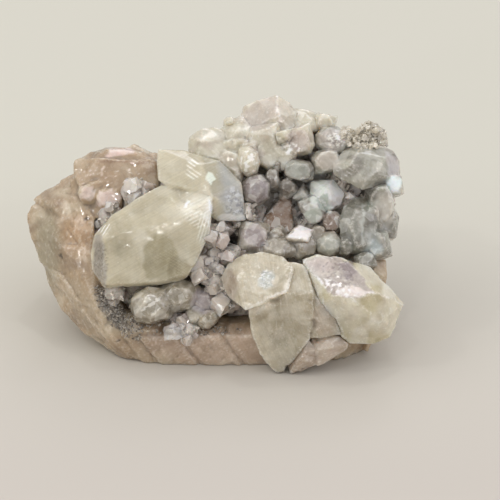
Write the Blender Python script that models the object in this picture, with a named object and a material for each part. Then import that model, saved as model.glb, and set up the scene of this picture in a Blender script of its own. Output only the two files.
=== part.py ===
"""A stilbite specimen, cut off flat where it grew on its rock.

A tan stilbite sheaf makes the left side and the bottom. A grey drusy matrix lies on it
and carries pale glassy crystals. Metres, +Z up, and the viewer stands on the -Y side.
The origin is on the cut face, under the middle of the specimen.

Crystals are given on the display face, in millimetres: across to the right, up along the
face, and out towards the viewer, who looks down on the specimen by VIEW_TILT.
"""

import math
import random

import bmesh
import bpy
import numpy as np
from mathutils import Euler, Vector, noise
from mathutils.bvhtree import BVHTree

MM = 0.001
VIEW_TILT = math.radians(30.0)
REST_DEPTH = 21.0
FLOOR_DEPTH = 30.0
ROOM = 120.0

# How a piece leaves room for its neighbours, and how its faces are cleaned
SOCKET_GAP = 0.34
SOCKET_REACH = 1.1
WELD = 0.004
FLAT_ANGLE = math.radians(1.0)
PLANE_ANGLE = math.radians(0.8)
SHARP_ANGLE = math.radians(12.0)

# The proportions of a blocky crystal, as shares of its half width, height and depth
CORNER_CUTS = (0.3, 0.85)
SHOULDER_LEVELS = (0.05, 0.45)
UPRIGHT_CUTS = (-0.2, 0.6)
ROOT_SHARE = 0.6
PIVOT_LEVEL = 0.6
BLOCK_LEAN = 22.0
QUARTERS = ((-1, -1), (-1, 1), (1, -1), (1, 1))

# The rings of a rounded crystal from its front to its root: level, reach and corners
ROUND_RINGS = ((1.0, 0.42, 5), (0.62, 0.84, 7), (0.1, 1.0, 8), (-1.0, 0.6, 5))
ROUND_UNEVENNESS = 0.08

# A smaller parallel crystal on the corner of another: how wide the first one has to be
TWIN_FROM = 3.3
TWIN_SHARES = (0.42, 0.62)
TWIN_CORNERS = (0, 1, 2, 4, 5, 6)
SUMMIT_TWIN_SEED = 3
EDGE_TWIN_SEED = 4
MIDDLE_TWIN_SEED = 6

# The bottom ledge of the stilbite: each slab is proud, topped and started at these places
LEDGE_FRONT = 2.4
LEDGE_LEAN = 5.6
LEDGE_SLABS = [(0.0, 9.2, -13.4), (0.7, 7.6, -9.4), (0.2, 7.8, -5.2), (0.9, 8.2, -0.8),
               (0.3, 7.9, 3.6), (0.8, 8.3, 8.0)]

# The rough cream mass behind the right shoulder
ROUGH_MASS_SEED = 5
ROUGH_MASS_CRYSTALS = 11
ROUGH_MASS_MIDDLE = (30.6, 47.2, -6.8)
ROUGH_MASS_SPREAD = (4.1, 2.1, -1.6)
ROUGH_MASS_LEAN = 0.35

# The matrix: the roughness of its lumps, and the faces where it is broken off
LUMP_ROUGHNESS = 2.4
LUMP_GRAIN = 4.5
LUMP_DIVISIONS = 2
LUMP_SHIFT = 7.0
BROKEN_FACES = [((8.0, 41.6, 12.0), (0.10, 1.0, -0.06)), ((20.0, 40.2, 24.0), (0.45, 1.0, 0.30)),
                ((0.0, 41.0, 28.0), (-0.35, 1.0, 0.42)), ((33.2, 30.0, 14.0), (1.0, 0.18, -0.12)),
                ((28.5, 38.0, 10.0), (1.0, 0.95, 0.05)), ((14.0, 40.6, 5.0), (0.0, 1.0, -0.55))]

# Where small crystals stand on the matrix: across, up, how many, and turned by how much
DRUSE_FIELDS = [((-3.0, 6.0), (13.0, 32.0), 7, 0.0), ((-22.0, 2.0), (9.0, 17.0), 5, 0.0),
                ((5.0, 30.0), (27.0, 42.0), 2, 0.0), ((-20.0, -13.0), (33.0, 38.0), 2, 0.0),
                ((-30.0, 10.0), (10.0, 46.0), 6, 180.0), ((-14.0, 18.0), (10.0, 45.0), 3, 90.0)]
FIELD_DISTANCE = 40.0
LOWEST_GRAIN = 2.0
GRAIN_SEED = 11
GRAIN_SIZES = (0.9, 1.8)
GRAIN_LEAN = 0.45
GRAIN_CORNERS = 4
GRAIN_FOOT = 1.1
GRAIN_TABLE = 0.5


def shown(across, up, out):
    """Turn a place on the display face, in mm, into a world point in metres."""
    y = up * math.sin(VIEW_TILT) - out * math.cos(VIEW_TILT) - REST_DEPTH
    z = up * math.cos(VIEW_TILT) + out * math.sin(VIEW_TILT)
    return Vector((across, y, z)) * MM


def behind(across, up, out):
    """The same as shown, for crystals that face away from the viewer."""
    front = shown(across, up, out)
    return Vector((-front.x, -front.y, front.z))


def standing(x, y, z):
    """Turn a place measured over the cut face, in mm, into a world point in metres."""
    return Vector((x, y - REST_DEPTH, z)) * MM


def corners(*places):
    """World points of a crystal whose corners are given on the display face."""
    return [shown(*place) for place in places]


def uprights(*places):
    """World points of a crystal whose corners are given over the cut face."""
    return [standing(*place) for place in places]


def block(centre, half, roll=0.0, nod=0.0, turn=0.0, table=0.5, place=shown,
          lean=BLOCK_LEAN):
    """Corners of a blocky crystal: four sides, a flat front and cut front corners.

    centre is its middle and half its half width, height and depth, in mm. roll, nod and
    turn are degrees about the out, across and up directions, and it leans by up to lean
    more. table is the share of its section that the front keeps. Some of its upright
    edges are cut too, which makes its outline uneven.
    """
    draw = random.Random(f"{centre[0]:.1f}/{centre[1]:.1f}")
    width, height, depth = half
    front = math.sqrt(table)
    level = depth * draw.uniform(*SHOULDER_LEVELS)
    leans = [draw.uniform(-lean, lean) for _ in range(2)]
    turned = Euler((math.radians(nod + leans[0]), math.radians(turn + leans[1]),
                    math.radians(roll))).to_matrix()
    points = []
    for right, top in QUARTERS:
        side, crown = draw.uniform(*CORNER_CUTS), draw.uniform(*CORNER_CUTS)
        points.append((right * width * front * (1 - side), top * height * front, depth))
        points.append((right * width * front, top * height * front * (1 - crown), depth))
        cut = max(0.0, draw.uniform(*UPRIGHT_CUTS))
        points.append((right * width * (1 - cut), top * height, level))
        if cut > 0.0:
            points.append((right * width, top * height * (1 - cut), level))
        points.append((right * width * ROOT_SHARE, top * height * ROOT_SHARE, -depth))
    pivot = Vector((0.0, 0.0, depth * PIVOT_LEVEL))
    middle = Vector(centre) + pivot
    return [place(*(middle + turned @ (Vector(point) - pivot))) for point in points]


def rounded(centre, half, roll=0.0):
    """Corners of a rounded crystal with many small faces.

    centre is its middle and half its half width, height and depth, in mm. roll is degrees
    about the out direction.
    """
    draw = random.Random(f"{centre[0]:.1f}/{centre[1]:.1f}")
    turned = Euler((0.0, 0.0, math.radians(roll))).to_matrix()
    width, height, depth = half
    points = []
    for level, reach, count in ROUND_RINGS:
        start = draw.uniform(0.0, 2.0 * math.pi)
        for corner in range(count):
            angle = start + corner * 2.0 * math.pi / count
            share = reach * draw.uniform(1.0 - ROUND_UNEVENNESS, 1.0 + ROUND_UNEVENNESS)
            aside = Vector((width * share * math.cos(angle), height * share * math.sin(angle),
                            depth * level))
            points.append(shown(*(Vector(centre) + turned @ aside)))
    return points


def with_twins(crystals, seed):
    """Add a smaller parallel crystal on a front corner of each of the wider ones."""
    draw = random.Random(seed)
    grown = []
    for points in crystals:
        grown.append(points)
        corner = draw.choice(TWIN_CORNERS)
        share = draw.uniform(*TWIN_SHARES)
        middle = sum(points, Vector()) / len(points)
        if (points[corner] - middle).length > TWIN_FROM * MM:
            grown.append([points[corner] + (point - middle) * share for point in points])
    return grown


def crystal_faces(points):
    """The closed convex crystal around the given world points, as a bmesh."""
    bm = bmesh.new()
    for point in points:
        bm.verts.new(point)
    made = bmesh.ops.convex_hull(bm, input=bm.verts)
    inside = [v for v in made["geom_interior"] + made["geom_unused"]
              if isinstance(v, bmesh.types.BMVert)]
    bmesh.ops.delete(bm, geom=list(set(inside)), context="VERTS")
    bmesh.ops.recalc_face_normals(bm, faces=bm.faces)
    return bm


def hull(points, name="crystal"):
    """The convex crystal around the given world points, as a mesh object."""
    return as_object(crystal_faces(points), name)


def as_object(bm, name):
    """Store a bmesh as a new object in the scene."""
    mesh = bpy.data.meshes.new(name)
    bm.to_mesh(mesh)
    bm.free()
    thing = bpy.data.objects.new(name, mesh)
    bpy.context.scene.collection.objects.link(thing)
    return thing


def socket_points(points):
    """Corners of the same crystal with every face moved out by the socket gap."""
    bm = crystal_faces(points)
    bmesh.ops.dissolve_limit(bm, angle_limit=FLAT_ANGLE, verts=bm.verts, edges=bm.edges)
    moved = []
    for vert in bm.verts:
        normals = np.array([face.normal[:] for face in vert.link_faces])
        reach = np.full(len(normals), SOCKET_GAP * MM)
        step = Vector(np.linalg.lstsq(normals, reach, rcond=None)[0])
        if step.length > SOCKET_REACH * MM:
            step = step.normalized() * SOCKET_REACH * MM
        moved.append(vert.co + step)
    bm.free()
    return moved


def combine(target, tool, operation):
    """Join a tool to the target, or cut it out, and remove the tool."""
    step = target.modifiers.new(operation.lower(), "BOOLEAN")
    step.object = tool
    step.operation = operation
    step.solver = "EXACT"
    graph = bpy.context.evaluated_depsgraph_get()
    done = bpy.data.meshes.new_from_object(target.evaluated_get(graph))
    target.modifiers.clear()
    target.data = done
    bpy.data.objects.remove(tool)


def near(points, others, margin=SOCKET_REACH):
    """Whether the boxes round two sets of world points come near each other."""
    for axis in range(3):
        low = min(point[axis] for point in points) - margin * MM
        high = max(point[axis] for point in points) + margin * MM
        if high < min(point[axis] for point in others):
            return False
        if low > max(point[axis] for point in others):
            return False
    return True


def bodies(bm):
    """The sets of faces that hang together over edges with a face on either side."""
    unseen = set(bm.faces)
    found = []
    while unseen:
        front = [unseen.pop()]
        body = set(front)
        while front:
            linked = [other for edge in front.pop().edges if len(edge.link_faces) == 2
                      for other in edge.link_faces if other in unseen]
            unseen.difference_update(linked)
            body.update(linked)
            front.extend(set(linked))
        found.append(body)
    return found


def drop_crumbs(bm):
    """Delete all but the largest body, and the edges that are left without a face."""
    main = max(bodies(bm), key=len)
    crumbs = [face for face in bm.faces if face not in main]
    bmesh.ops.delete(bm, geom=crumbs, context="FACES")
    wires = [edge for edge in bm.edges if not edge.link_faces]
    bmesh.ops.delete(bm, geom=wires, context="EDGES")


def keep_main_body(thing):
    """Drop crumbs that the cuts left loose, and merge faces that lie in one plane."""
    bm = bmesh.new()
    bm.from_mesh(thing.data)
    bmesh.ops.remove_doubles(bm, verts=bm.verts, dist=WELD * MM)
    bmesh.ops.dissolve_degenerate(bm, edges=bm.edges, dist=WELD * MM)
    drop_crumbs(bm)
    bmesh.ops.dissolve_limit(bm, angle_limit=PLANE_ANGLE, verts=bm.verts, edges=bm.edges)
    bmesh.ops.triangulate(bm, faces=bm.faces)
    drop_crumbs(bm)
    bmesh.ops.recalc_face_normals(bm, faces=bm.faces)
    bm.to_mesh(thing.data)
    bm.free()


def cut_flat(thing):
    """Cut a piece off flat at the level that it rests on."""
    low = standing(-ROOM, -ROOM, -FLOOR_DEPTH)
    high = standing(ROOM, ROOM, 0.0)
    box = [Vector((x, y, z)) for x in (low.x, high.x) for y in (low.y, high.y)
           for z in (low.z, high.z)]
    combine(thing, hull(box, "floor_cutter"), "DIFFERENCE")


def finish(name, colour, roughness):
    """The plain material of one piece."""
    material = bpy.data.materials.new(name)
    material.use_nodes = True
    shader = material.node_tree.nodes["Principled BSDF"]
    shader.inputs["Base Color"].default_value = (*colour, 1.0)
    shader.inputs["Roughness"].default_value = roughness
    shader.inputs["Metallic"].default_value = 0.0
    return material


def great_blade():
    """The big blade left of the middle and the crown blade behind it."""
    front = corners((-24.8, 23.2, 3.4), (-24.1, 27.2, 3.2), (-20.8, 31.4, 3.8),
                    (-15.4, 34.8, 4.2), (-10.6, 37.4, 3.0), (-0.4, 34.9, 6.2),
                    (-1.2, 27.6, 7.2), (-3.4, 22.6, 7.0), (-6.0, 18.6, 6.0),
                    (-11.2, 17.4, 5.4), (-22.0, 16.8, 4.4), (-24.5, 20.4, 3.6),
                    (-22.4, 26.9, 6.5), (-21.9, 17.7, 6.6), (-12.4, 26.0, 8.0),
                    (-11.0, 18.2, 7.2), (-5.4, 19.8, 7.8), (-4.4, 31.0, 8.1),
                    (-17.5, 23.5, -5.5),
                    (-5.5, 24.5, -4.5),
                    (-12.5, 32.5, -7.0), (-3.5, 32.0, -4.5))
    crown = corners((-11.7, 44.7, -1.4), (-6.4, 44.5, -1.2), (0.8, 42.3, -0.2),
                    (5.2, 37.8, 1.2), (6.1, 30.4, 2.0), (0.5, 30.2, 3.6),
                    (-0.7, 35.3, 5.6), (-11.4, 38.4, 3.6), (-3.2, 41.4, 3.4),
                    (-9.5, 41.0, -9.0), (2.5, 38.0, -8.0), (3.5, 32.0, -5.0))
    return [front, crown]


def front_left_crystal():
    """The big crystal at the front: its head, its lower prism and a flank on its right."""
    head = corners((1.2, 19.0, 5.2), (2.0, 16.2, 6.6), (2.4, 21.4, 5.2),
                   (4.2, 13.6, 8.4), (5.8, 23.2, 6.0), (9.0, 23.9, 6.4),
                   (13.6, 23.0, 7.6), (15.6, 20.6, 9.4), (4.6, 19.0, 9.0),
                   (6.0, 12.2, 11.0), (10.6, 14.9, 12.5), (14.5, 16.2, 12.9),
                   (8.0, 19.0, -4.0), (13.0, 18.0, -4.0), (9.0, 14.0, 2.0))
    prism = corners((6.6, 13.2, 9.4), (6.9, 10.2, 8.8), (7.9, 6.6, 6.4),
                    (9.0, 3.5, 4.0), (11.0, 0.9, 1.9), (12.4, -0.3, 1.1),
                    (13.8, -0.2, 1.3), (14.8, 1.4, 2.4), (16.4, 4.2, 4.8),
                    (18.8, 6.8, 6.6), (19.6, 12.4, 10.4), (19.4, 16.2, 11.4),
                    (17.8, 21.6, 8.2), (14.2, 21.8, 8.2), (14.6, 15.6, 12.0),
                    (10.6, 14.2, 11.6), (8.0, 19.0, -4.0), (16.0, 18.0, -4.0),
                    (11.0, 5.0, -3.0), (17.0, 8.0, -2.0))
    flank = corners((18.0, 21.0, 7.4), (19.0, 16.4, 10.6), (20.9, 13.8, 10.0),
                    (23.8, 11.2, 8.2), (25.2, 7.6, 6.2), (22.0, 7.2, 6.2),
                    (18.4, 7.2, 6.0), (18.6, 12.0, 9.8), (15.0, 18.0, -2.0),
                    (20.0, 9.0, -2.0), (15.0, 9.0, 2.0))
    return [head, prism, flank]


def foot_crystals():
    """The two small pinkish crystals at the foot of the front ones."""
    left = corners((16.4, 4.8, 3.2), (18.7, 6.6, 4.6), (20.2, 4.4, 4.2),
                   (20.4, 1.6, 2.6), (18.2, 0.1, 1.6), (15.2, -0.4, 1.2),
                   (14.6, 1.4, 0.8), (17.6, 2.8, 4.8), (17.0, 5.0, -3.0),
                   (19.5, 4.0, -3.0))
    right = corners((19.4, 6.8, 3.8), (22.0, 7.6, 5.0), (25.2, 7.2, 5.2),
                    (26.8, 5.8, 4.6), (26.2, 4.4, 3.6), (23.4, 2.8, 3.0),
                    (20.6, 1.3, 2.4), (19.4, 2.2, 2.2), (22.6, 5.0, 6.0),
                    (20.6, 4.6, 5.2), (19.0, 5.0, -3.0), (25.0, 5.0, -3.0))
    return [left, right]


def front_right_crystal():
    """The big yellow-green crystal at the right front, with its bright kite face."""
    main = corners((17.4, 22.2, 7.3), (20.4, 23.2, 6.8), (25.2, 22.9, 6.0),
                   (28.8, 19.9, 7.6), (31.6, 15.9, 9.9), (27.2, 14.7, 11.5),
                   (22.8, 15.9, 11.3), (19.0, 20.2, 9.4), (31.0, 20.8, 4.6),
                   (35.2, 16.8, 5.6), (38.0, 13.7, 5.0), (36.3, 9.4, 4.0),
                   (35.0, 7.0, 3.0), (31.8, 5.6, 3.2), (27.0, 5.7, 4.4),
                   (25.4, 7.0, 5.6), (24.2, 11.0, 8.8), (21.0, 14.2, 10.6),
                   (32.6, 10.6, 8.4), (24.0, 18.0, -3.0), (34.0, 14.0, -4.0),
                   (32.0, 18.0, -4.0), (30.0, 8.0, -2.0))
    return [main]


def shoulder_crystals():
    """The rounded crystals at the upper right, with the rough cream mass behind."""
    main = corners((23.8, 41.8, -1.4), (26.0, 44.4, -3.2), (29.0, 45.6, -4.2),
                   (34.4, 45.2, -5.6), (36.2, 44.2, -6.0), (37.2, 42.4, -6.4),
                   (37.4, 40.0, -5.6), (35.2, 37.8, -2.6), (29.6, 36.6, 0.6),
                   (25.6, 38.4, 0.8), (23.8, 39.8, -0.2), (27.2, 41.5, 1.8),
                   (34.2, 43.0, -1.8), (34.4, 39.2, -0.4), (30.0, 38.4, 2.2),
                   (28.6, 43.8, -0.4), (33.0, 40.6, 0.8), (28.0, 41.0, -12.0),
                   (34.0, 41.0, -12.0))
    rough = corners((26.8, 46.0, -7.4), (27.6, 48.4, -9.2), (30.4, 48.6, -9.4),
                    (33.4, 49.2, -9.8), (34.6, 47.6, -9.0), (34.4, 45.6, -7.6),
                    (27.5, 47.0, -14.0), (33.5, 47.0, -14.0), (30.0, 43.0, -8.0))
    crystals = [main, rough,
                rounded((23.5, 46.5, -5.4), (3.6, 3.0, 3.8), roll=-8),
                block((22.4, 42.4, -4.6), (2.8, 2.3, 3.4), roll=12, nod=-4, table=0.6),
                block((36.0, 37.5, -3.8), (1.7, 1.9, 2.6), roll=10, nod=-14, table=0.7,
                      lean=5)]
    return [*crystals, *rough_mass()]


def rough_mass():
    """Small rough crystals, spread over an oval and leaning out from its middle."""
    draw = random.Random(ROUGH_MASS_SEED)
    crystals = []
    for _ in range(ROUGH_MASS_CRYSTALS):
        angle = draw.uniform(0.0, 2.0 * math.pi)
        share = math.sqrt(draw.uniform(0.1, 1.0))
        reach = (math.cos(angle), math.sin(angle), 1.0)
        place = [ROUGH_MASS_MIDDLE[i] + ROUGH_MASS_SPREAD[i] * share * reach[i]
                 for i in range(3)]
        tip = [place[0] + ROUGH_MASS_LEAN * reach[0], place[1] + ROUGH_MASS_LEAN * reach[1],
               place[2] + 1.0]
        crystals.append(small_crystal(shown(*place), (shown(*tip) - shown(*place)) / MM, draw))
    return crystals


def summit_crystals():
    """The pale crystals along the top, up to the summit."""
    summit = corners((12.4, 55.7, -9.2), (12.6, 51.6, -4.8), (8.6, 54.7, -9.4),
                     (5.8, 53.5, -10.0), (5.2, 51.6, -9.0), (15.0, 54.3, -9.4),
                     (16.4, 52.4, -8.8), (15.6, 48.6, -5.8), (11.5, 47.4, -4.2),
                     (6.8, 48.8, -5.8), (8.0, 50.0, -17.0), (14.0, 50.0, -17.0),
                     (11.5, 54.0, -15.0))
    left = corners((-5.4, 44.4, -4.8), (-5.3, 47.0, -5.8), (-2.8, 49.0, -6.4),
                   (-0.2, 49.3, -6.4), (1.8, 48.0, -5.0), (2.2, 45.0, -2.4),
                   (1.0, 42.6, -0.9), (-3.5, 43.4, -1.9), (-2.6, 46.6, -2.4),
                   (-3.0, 46.0, -11.0), (0.8, 46.0, -11.0), (0.0, 43.0, -9.0))
    middle = corners((1.0, 48.6, -6.2), (3.4, 50.7, -7.6), (5.4, 51.5, -7.8),
                     (7.4, 48.8, -4.9), (6.0, 46.2, -3.6), (2.2, 45.2, -3.2),
                     (4.2, 48.2, -3.4), (2.0, 47.0, -12.0), (6.0, 49.0, -12.0))
    cream = corners((13.6, 53.4, -12.0), (17.8, 52.9, -10.6), (20.4, 52.2, -10.4),
                    (21.6, 48.8, -7.0), (17.0, 48.2, -6.0), (15.4, 50.0, -7.4),
                    (19.4, 50.4, -6.6), (17.5, 49.0, -16.0), (20.5, 49.5, -15.0))
    lower = [block((3.0, 41.4, -3.6), (3.1, 2.9, 3.0), roll=-20, nod=-20, table=0.6),
             block((9.4, 46.4, -5.6), (3.7, 2.9, 3.2), roll=10, nod=-10),
             block((10.4, 43.6, -4.8), (3.0, 2.5, 2.6), roll=-30, nod=15),
             block((16.6, 46.4, -4.8), (3.0, 2.8, 3.2), roll=15, nod=-8, table=0.6),
             block((13.2, 43.2, -4.8), (2.8, 2.5, 2.6), roll=-25, nod=10, table=0.6)]
    return [summit, left, middle, cream,
            rounded((6.7, 42.3, -1.6), (2.3, 3.0, 3.0), roll=10),
            block((4.6, 44.6, -6.0), (3.4, 2.6, 3.4), table=0.7, lean=8),
            block((2.9, 50.5, -7.6), (0.8, 0.9, 2.0), table=0.3),
            block((22.4, 50.1, -9.0), (2.0, 1.8, 3.2), roll=-10, nod=-14),
            *with_twins(lower, SUMMIT_TWIN_SEED)]


def right_edge_crystals():
    """The greenish and grey crystals down the right edge."""
    main = corners((26.0, 33.2, -0.8), (28.2, 34.8, -1.8), (31.4, 34.8, -2.2),
                   (33.6, 32.6, -1.8), (34.2, 28.6, -1.0), (33.4, 25.2, 0.2),
                   (30.6, 23.2, 1.4), (27.4, 23.8, 1.8), (25.4, 26.6, 1.4),
                   (25.1, 30.4, 0.6), (28.2, 32.2, 1.4), (31.0, 32.4, 1.0),
                   (32.4, 29.0, 2.0), (31.4, 25.8, 3.2), (28.4, 25.2, 3.8),
                   (27.2, 29.4, 3.0), (27.0, 30.0, -8.0), (33.0, 30.0, -8.0),
                   (30.0, 25.0, -6.0))
    crystals = [block((33.4, 33.8, -3.8), (2.6, 4.2, 3.8), roll=4, table=0.6, lean=12),
                block((34.6, 30.2, -4.6), (2.0, 2.9, 3.6), roll=-6, table=0.6, lean=12),
                block((32.8, 25.4, -0.6), (2.0, 2.6, 3.6), roll=16, table=0.6, lean=12),
                block((26.2, 25.0, 1.0), (1.4, 1.6, 2.6), roll=28, table=0.5),
                block((30.2, 22.3, 1.0), (1.9, 1.6, 2.6), roll=18, table=0.6)]
    return [main, *with_twins(crystals, EDGE_TWIN_SEED)]


def middle_crystals():
    """The row of clear crystals above the two front ones, with the bright rhomb."""
    rhomb = corners((14.3, 26.9, 4.2), (16.8, 29.4, 1.0), (19.7, 28.3, 1.4),
                    (18.5, 26.4, 4.8), (15.5, 25.2, 1.0), (19.0, 25.2, 1.0),
                    (17.0, 28.0, -6.0))
    wide = corners((8.2, 24.2, 2.0), (8.6, 26.3, 1.0), (10.8, 27.5, 0.4), (14.6, 27.3, 0.6),
                   (17.1, 25.8, 1.2), (17.3, 23.4, 2.2), (12.4, 22.6, 3.2), (10.0, 25.2, 3.4),
                   (11.6, 26.4, 2.8), (14.2, 25.9, 3.6), (15.8, 24.4, 3.6), (12.6, 23.7, 4.4),
                   (9.0, 25.0, -4.0), (16.0, 25.0, -4.0))
    row = [block((7.8, 27.2, -0.6), (3.0, 3.0, 3.4), roll=-8, turn=-8),
           block((12.4, 27.4, -1.2), (1.6, 1.4, 2.6), roll=30, nod=8, table=0.5),
           block((18.3, 25.0, 0.6), (2.2, 1.9, 3.0), roll=14, nod=10, turn=8, table=0.55),
           block((20.6, 27.4, -1.0), (1.5, 2.1, 2.8), roll=-16, turn=12, table=0.5)]
    return [rhomb, wide, rounded((22.9, 25.5, 0.6), (3.0, 2.5, 3.2), roll=-7),
            *with_twins(row, MIDDLE_TWIN_SEED)]


def back_crystals():
    """A cluster of pale crystals that grew on the back of the matrix."""
    return [block((-20.0, 27.2, 11.8), (5.4, 4.5, 6.0), roll=14, nod=8, place=behind),
            block((-13.2, 25.2, 10.8), (3.7, 3.3, 5.0), roll=-20, table=0.55, place=behind),
            block((-25.8, 23.0, 8.0), (3.4, 3.6, 5.0), roll=30, place=behind, lean=12),
            block((-19.4, 20.8, 8.8), (3.6, 3.0, 4.6), roll=-8, table=0.6, place=behind),
            block((-8.6, 28.6, 12.6), (3.2, 2.9, 4.8), roll=12, place=behind),
            block((-13.6, 19.2, 7.8), (2.8, 2.6, 4.0), roll=24, table=0.4, place=behind),
            block((-25.4, 17.0, 5.0), (2.5, 2.8, 4.2), roll=-16, place=behind, lean=12),
            block((-4.4, 25.6, 11.0), (2.7, 2.3, 4.2), roll=-24, place=behind),
            block((-9.6, 22.0, 9.4), (1.9, 1.7, 3.4), roll=10, table=0.4, place=behind)]


def pocket_crystals():
    """The crust of small crystals in the hollow right of the middle."""
    crust = corners((5.0, 40.0, -10.0), (24.0, 42.0, -10.0), (27.0, 30.0, -9.0),
                    (5.0, 27.0, -9.0), (6.5, 38.5, -6.4), (22.5, 40.0, -6.6),
                    (25.0, 31.0, -6.0), (7.5, 29.0, -6.0))
    point = corners((18.0, 38.0, -4.2), (15.7, 34.8, -2.8), (19.3, 34.6, -2.6),
                    (17.4, 35.6, -1.8), (16.4, 36.0, -8.0), (19.0, 35.4, -8.0))
    bright = corners((19.4, 38.0, -2.8), (23.6, 38.8, -3.0), (26.0, 35.8, -2.2),
                     (25.0, 33.2, -1.4), (22.8, 32.2, -1.0), (19.6, 33.4, -1.2),
                     (19.2, 35.6, -1.8), (22.6, 36.6, 0.2), (21.0, 35.0, 0.4),
                     (23.6, 34.6, 0.4), (21.0, 37.0, -8.0), (24.0, 34.0, -8.0))
    brown = corners((9.8, 30.6, -3.0), (13.2, 34.6, -4.2), (15.3, 34.4, -4.2),
                    (15.5, 28.0, -2.0), (12.6, 27.4, -1.6), (9.9, 28.6, -2.0),
                    (10.6, 33.0, -8.0), (15.4, 33.0, -8.0), (13.5, 28.0, -8.0))
    return [crust, point, bright, brown,
            rounded((8.2, 36.6, -2.6), (3.1, 3.4, 4.2), roll=-10),
            block((11.5, 39.0, -4.2), (1.4, 1.8, 3.6), roll=6, table=0.4),
            block((16.8, 40.4, -4.0), (2.9, 1.9, 4.0), roll=-12, nod=-10, table=0.65),
            block((12.7, 41.4, -5.0), (1.3, 1.1, 3.0), roll=20),
            block((19.6, 32.2, -2.4), (1.9, 2.5, 4.0), roll=24, table=0.6),
            block((23.4, 30.0, -3.8), (2.1, 2.1, 4.0), roll=-8, nod=8, table=0.7),
            block((14.6, 37.2, -4.6), (1.7, 1.7, 3.0), roll=30),
            block((13.8, 35.2, -5.4), (1.1, 1.0, 2.4), roll=10, table=0.3)]


def oval_crystals():
    """The rounded crystals in the dark druse under the great blade."""
    return [rounded((-12.4, 13.5, 2.8), (5.0, 4.1, 5.0), roll=18),
            rounded((-7.4, 15.3, 1.4), (5.1, 3.7, 5.2), roll=10),
            rounded((-2.4, 14.2, 0.2), (3.3, 3.1, 4.2), roll=-6),
            block((-3.8, 11.4, 1.0), (2.0, 1.7, 3.4), roll=14, table=0.55),
            rounded((-1.5, 10.6, 2.8), (2.1, 1.7, 3.4), roll=25)]


def druse_crystals():
    """The larger of the small crystals that are fused to the matrix at the front."""
    return [block((-1.5, 21.2, 1.0), (2.3, 2.4, 3.2), roll=10, nod=-8, table=0.6),
            block((2.2, 23.4, 0.6), (2.2, 1.7, 3.0), roll=-14),
            block((-0.4, 26.6, 1.2), (1.6, 2.8, 3.2), roll=-4, turn=10, table=0.5),
            block((5.4, 31.0, -1.8), (2.6, 2.4, 3.4), roll=16, table=0.6),
            block((0.4, 17.4, 1.0), (1.9, 2.2, 3.0), roll=22, table=0.5),
            block((1.6, 13.6, 0.8), (2.0, 1.8, 3.0), roll=-10, table=0.5),
            block((-17.8, 10.4, 1.4), (2.0, 2.1, 2.8), roll=30, table=0.6),
            block((-16.0, 7.9, 1.0), (1.9, 1.6, 2.8), roll=-16, table=0.6),
            block((-11.6, 8.6, 1.2), (2.2, 1.4, 2.6), roll=8, table=0.5),
            block((-6.8, 8.5, 1.6), (2.7, 1.4, 2.6), roll=-4, nod=-10, table=0.6),
            block((-20.6, 17.6, 0.8), (1.8, 2.2, 2.8), roll=12, table=0.6),
            block((-22.0, 21.4, 0.0), (1.7, 2.4, 2.8), roll=-8, table=0.6),
            block((-16.4, 36.2, -1.8), (2.4, 1.8, 2.8), roll=18, table=0.6),
            block((-21.2, 31.2, -2.0), (2.2, 1.8, 2.8), roll=20, table=0.6)]


def sheaf_blades():
    """The blades of the stilbite that fan out to the left and sweep down to the ledge."""
    lower = corners((-38.2, 31.4, -9.4), (-37.4, 27.6, -8.9), (-35.6, 21.8, -8.6),
                    (-32.6, 20.0, -5.6), (-31.8, 26.4, -3.0), (-27.6, 22.0, -1.6),
                    (-36.9, 33.6, -9.8), (-31.4, 30.6, -3.6), (-26.0, 27.0, -1.8),
                    (-34.0, 28.0, -18.0), (-28.0, 22.0, -18.0), (-24.0, 28.0, -12.0))
    middle = corners((-36.8, 34.5, -10.4), (-34.6, 36.5, -10.6), (-33.2, 33.6, -5.2),
                     (-30.2, 30.0, -2.8), (-25.8, 24.0, -0.5), (-24.3, 24.6, -0.4),
                     (-24.3, 31.0, -0.6), (-28.4, 35.2, -3.4), (-31.6, 37.8, -9.2),
                     (-34.0, 33.0, -20.0), (-26.0, 30.0, -14.0))
    upper = corners((-31.6, 38.3, -10.4), (-28.3, 39.9, -9.6), (-26.4, 37.6, -3.4),
                    (-23.2, 35.6, -2.2), (-23.2, 30.6, -1.2), (-27.2, 33.0, -2.4),
                    (-30.8, 36.2, -6.2), (-30.0, 36.0, -21.0), (-22.0, 32.0, -14.0))
    keel = corners((-24.7, 23.6, 0.6), (-25.6, 25.4, -0.2),
                   (-35.2, 22.4, -8.2), (-33.6, 16.8, -8.0), (-31.2, 12.2, -7.4),
                   (-26.8, 7.6, -6.4), (-22.6, 5.2, -5.4), (-18.4, 2.4, -4.2),
                   (-30.8, 25.2, -2.2), (-28.0, 22.0, -0.4), (-26.0, 18.4, 0.8),
                   (-24.4, 14.4, 1.3), (-22.8, 10.4, 1.0), (-20.4, 6.6, -0.2),
                   (-17.6, 3.2, -2.2), (-21.6, 15.4, 0.2), (-18.6, 10.4, 0.0),
                   (-16.8, 6.2, -1.0), (-14.0, 2.2, -2.8), (-18.0, 14.0, -8.0),
                   (-13.0, 6.0, -10.0), (-28.0, 16.0, -18.0), (-20.0, 4.0, -12.0))
    rib = corners((-34.0, 20.6, -7.0), (-30.6, 15.4, -5.0), (-25.6, 9.6, -3.2),
                  (-21.4, 5.8, -2.6), (-19.2, 3.6, -2.8), (-31.4, 19.8, -3.0),
                  (-27.2, 13.2, -1.4), (-23.0, 8.0, -0.6), (-28.0, 15.0, -10.0),
                  (-20.0, 7.0, -9.0))
    return [lower, middle, upper, keel, rib]


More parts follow.
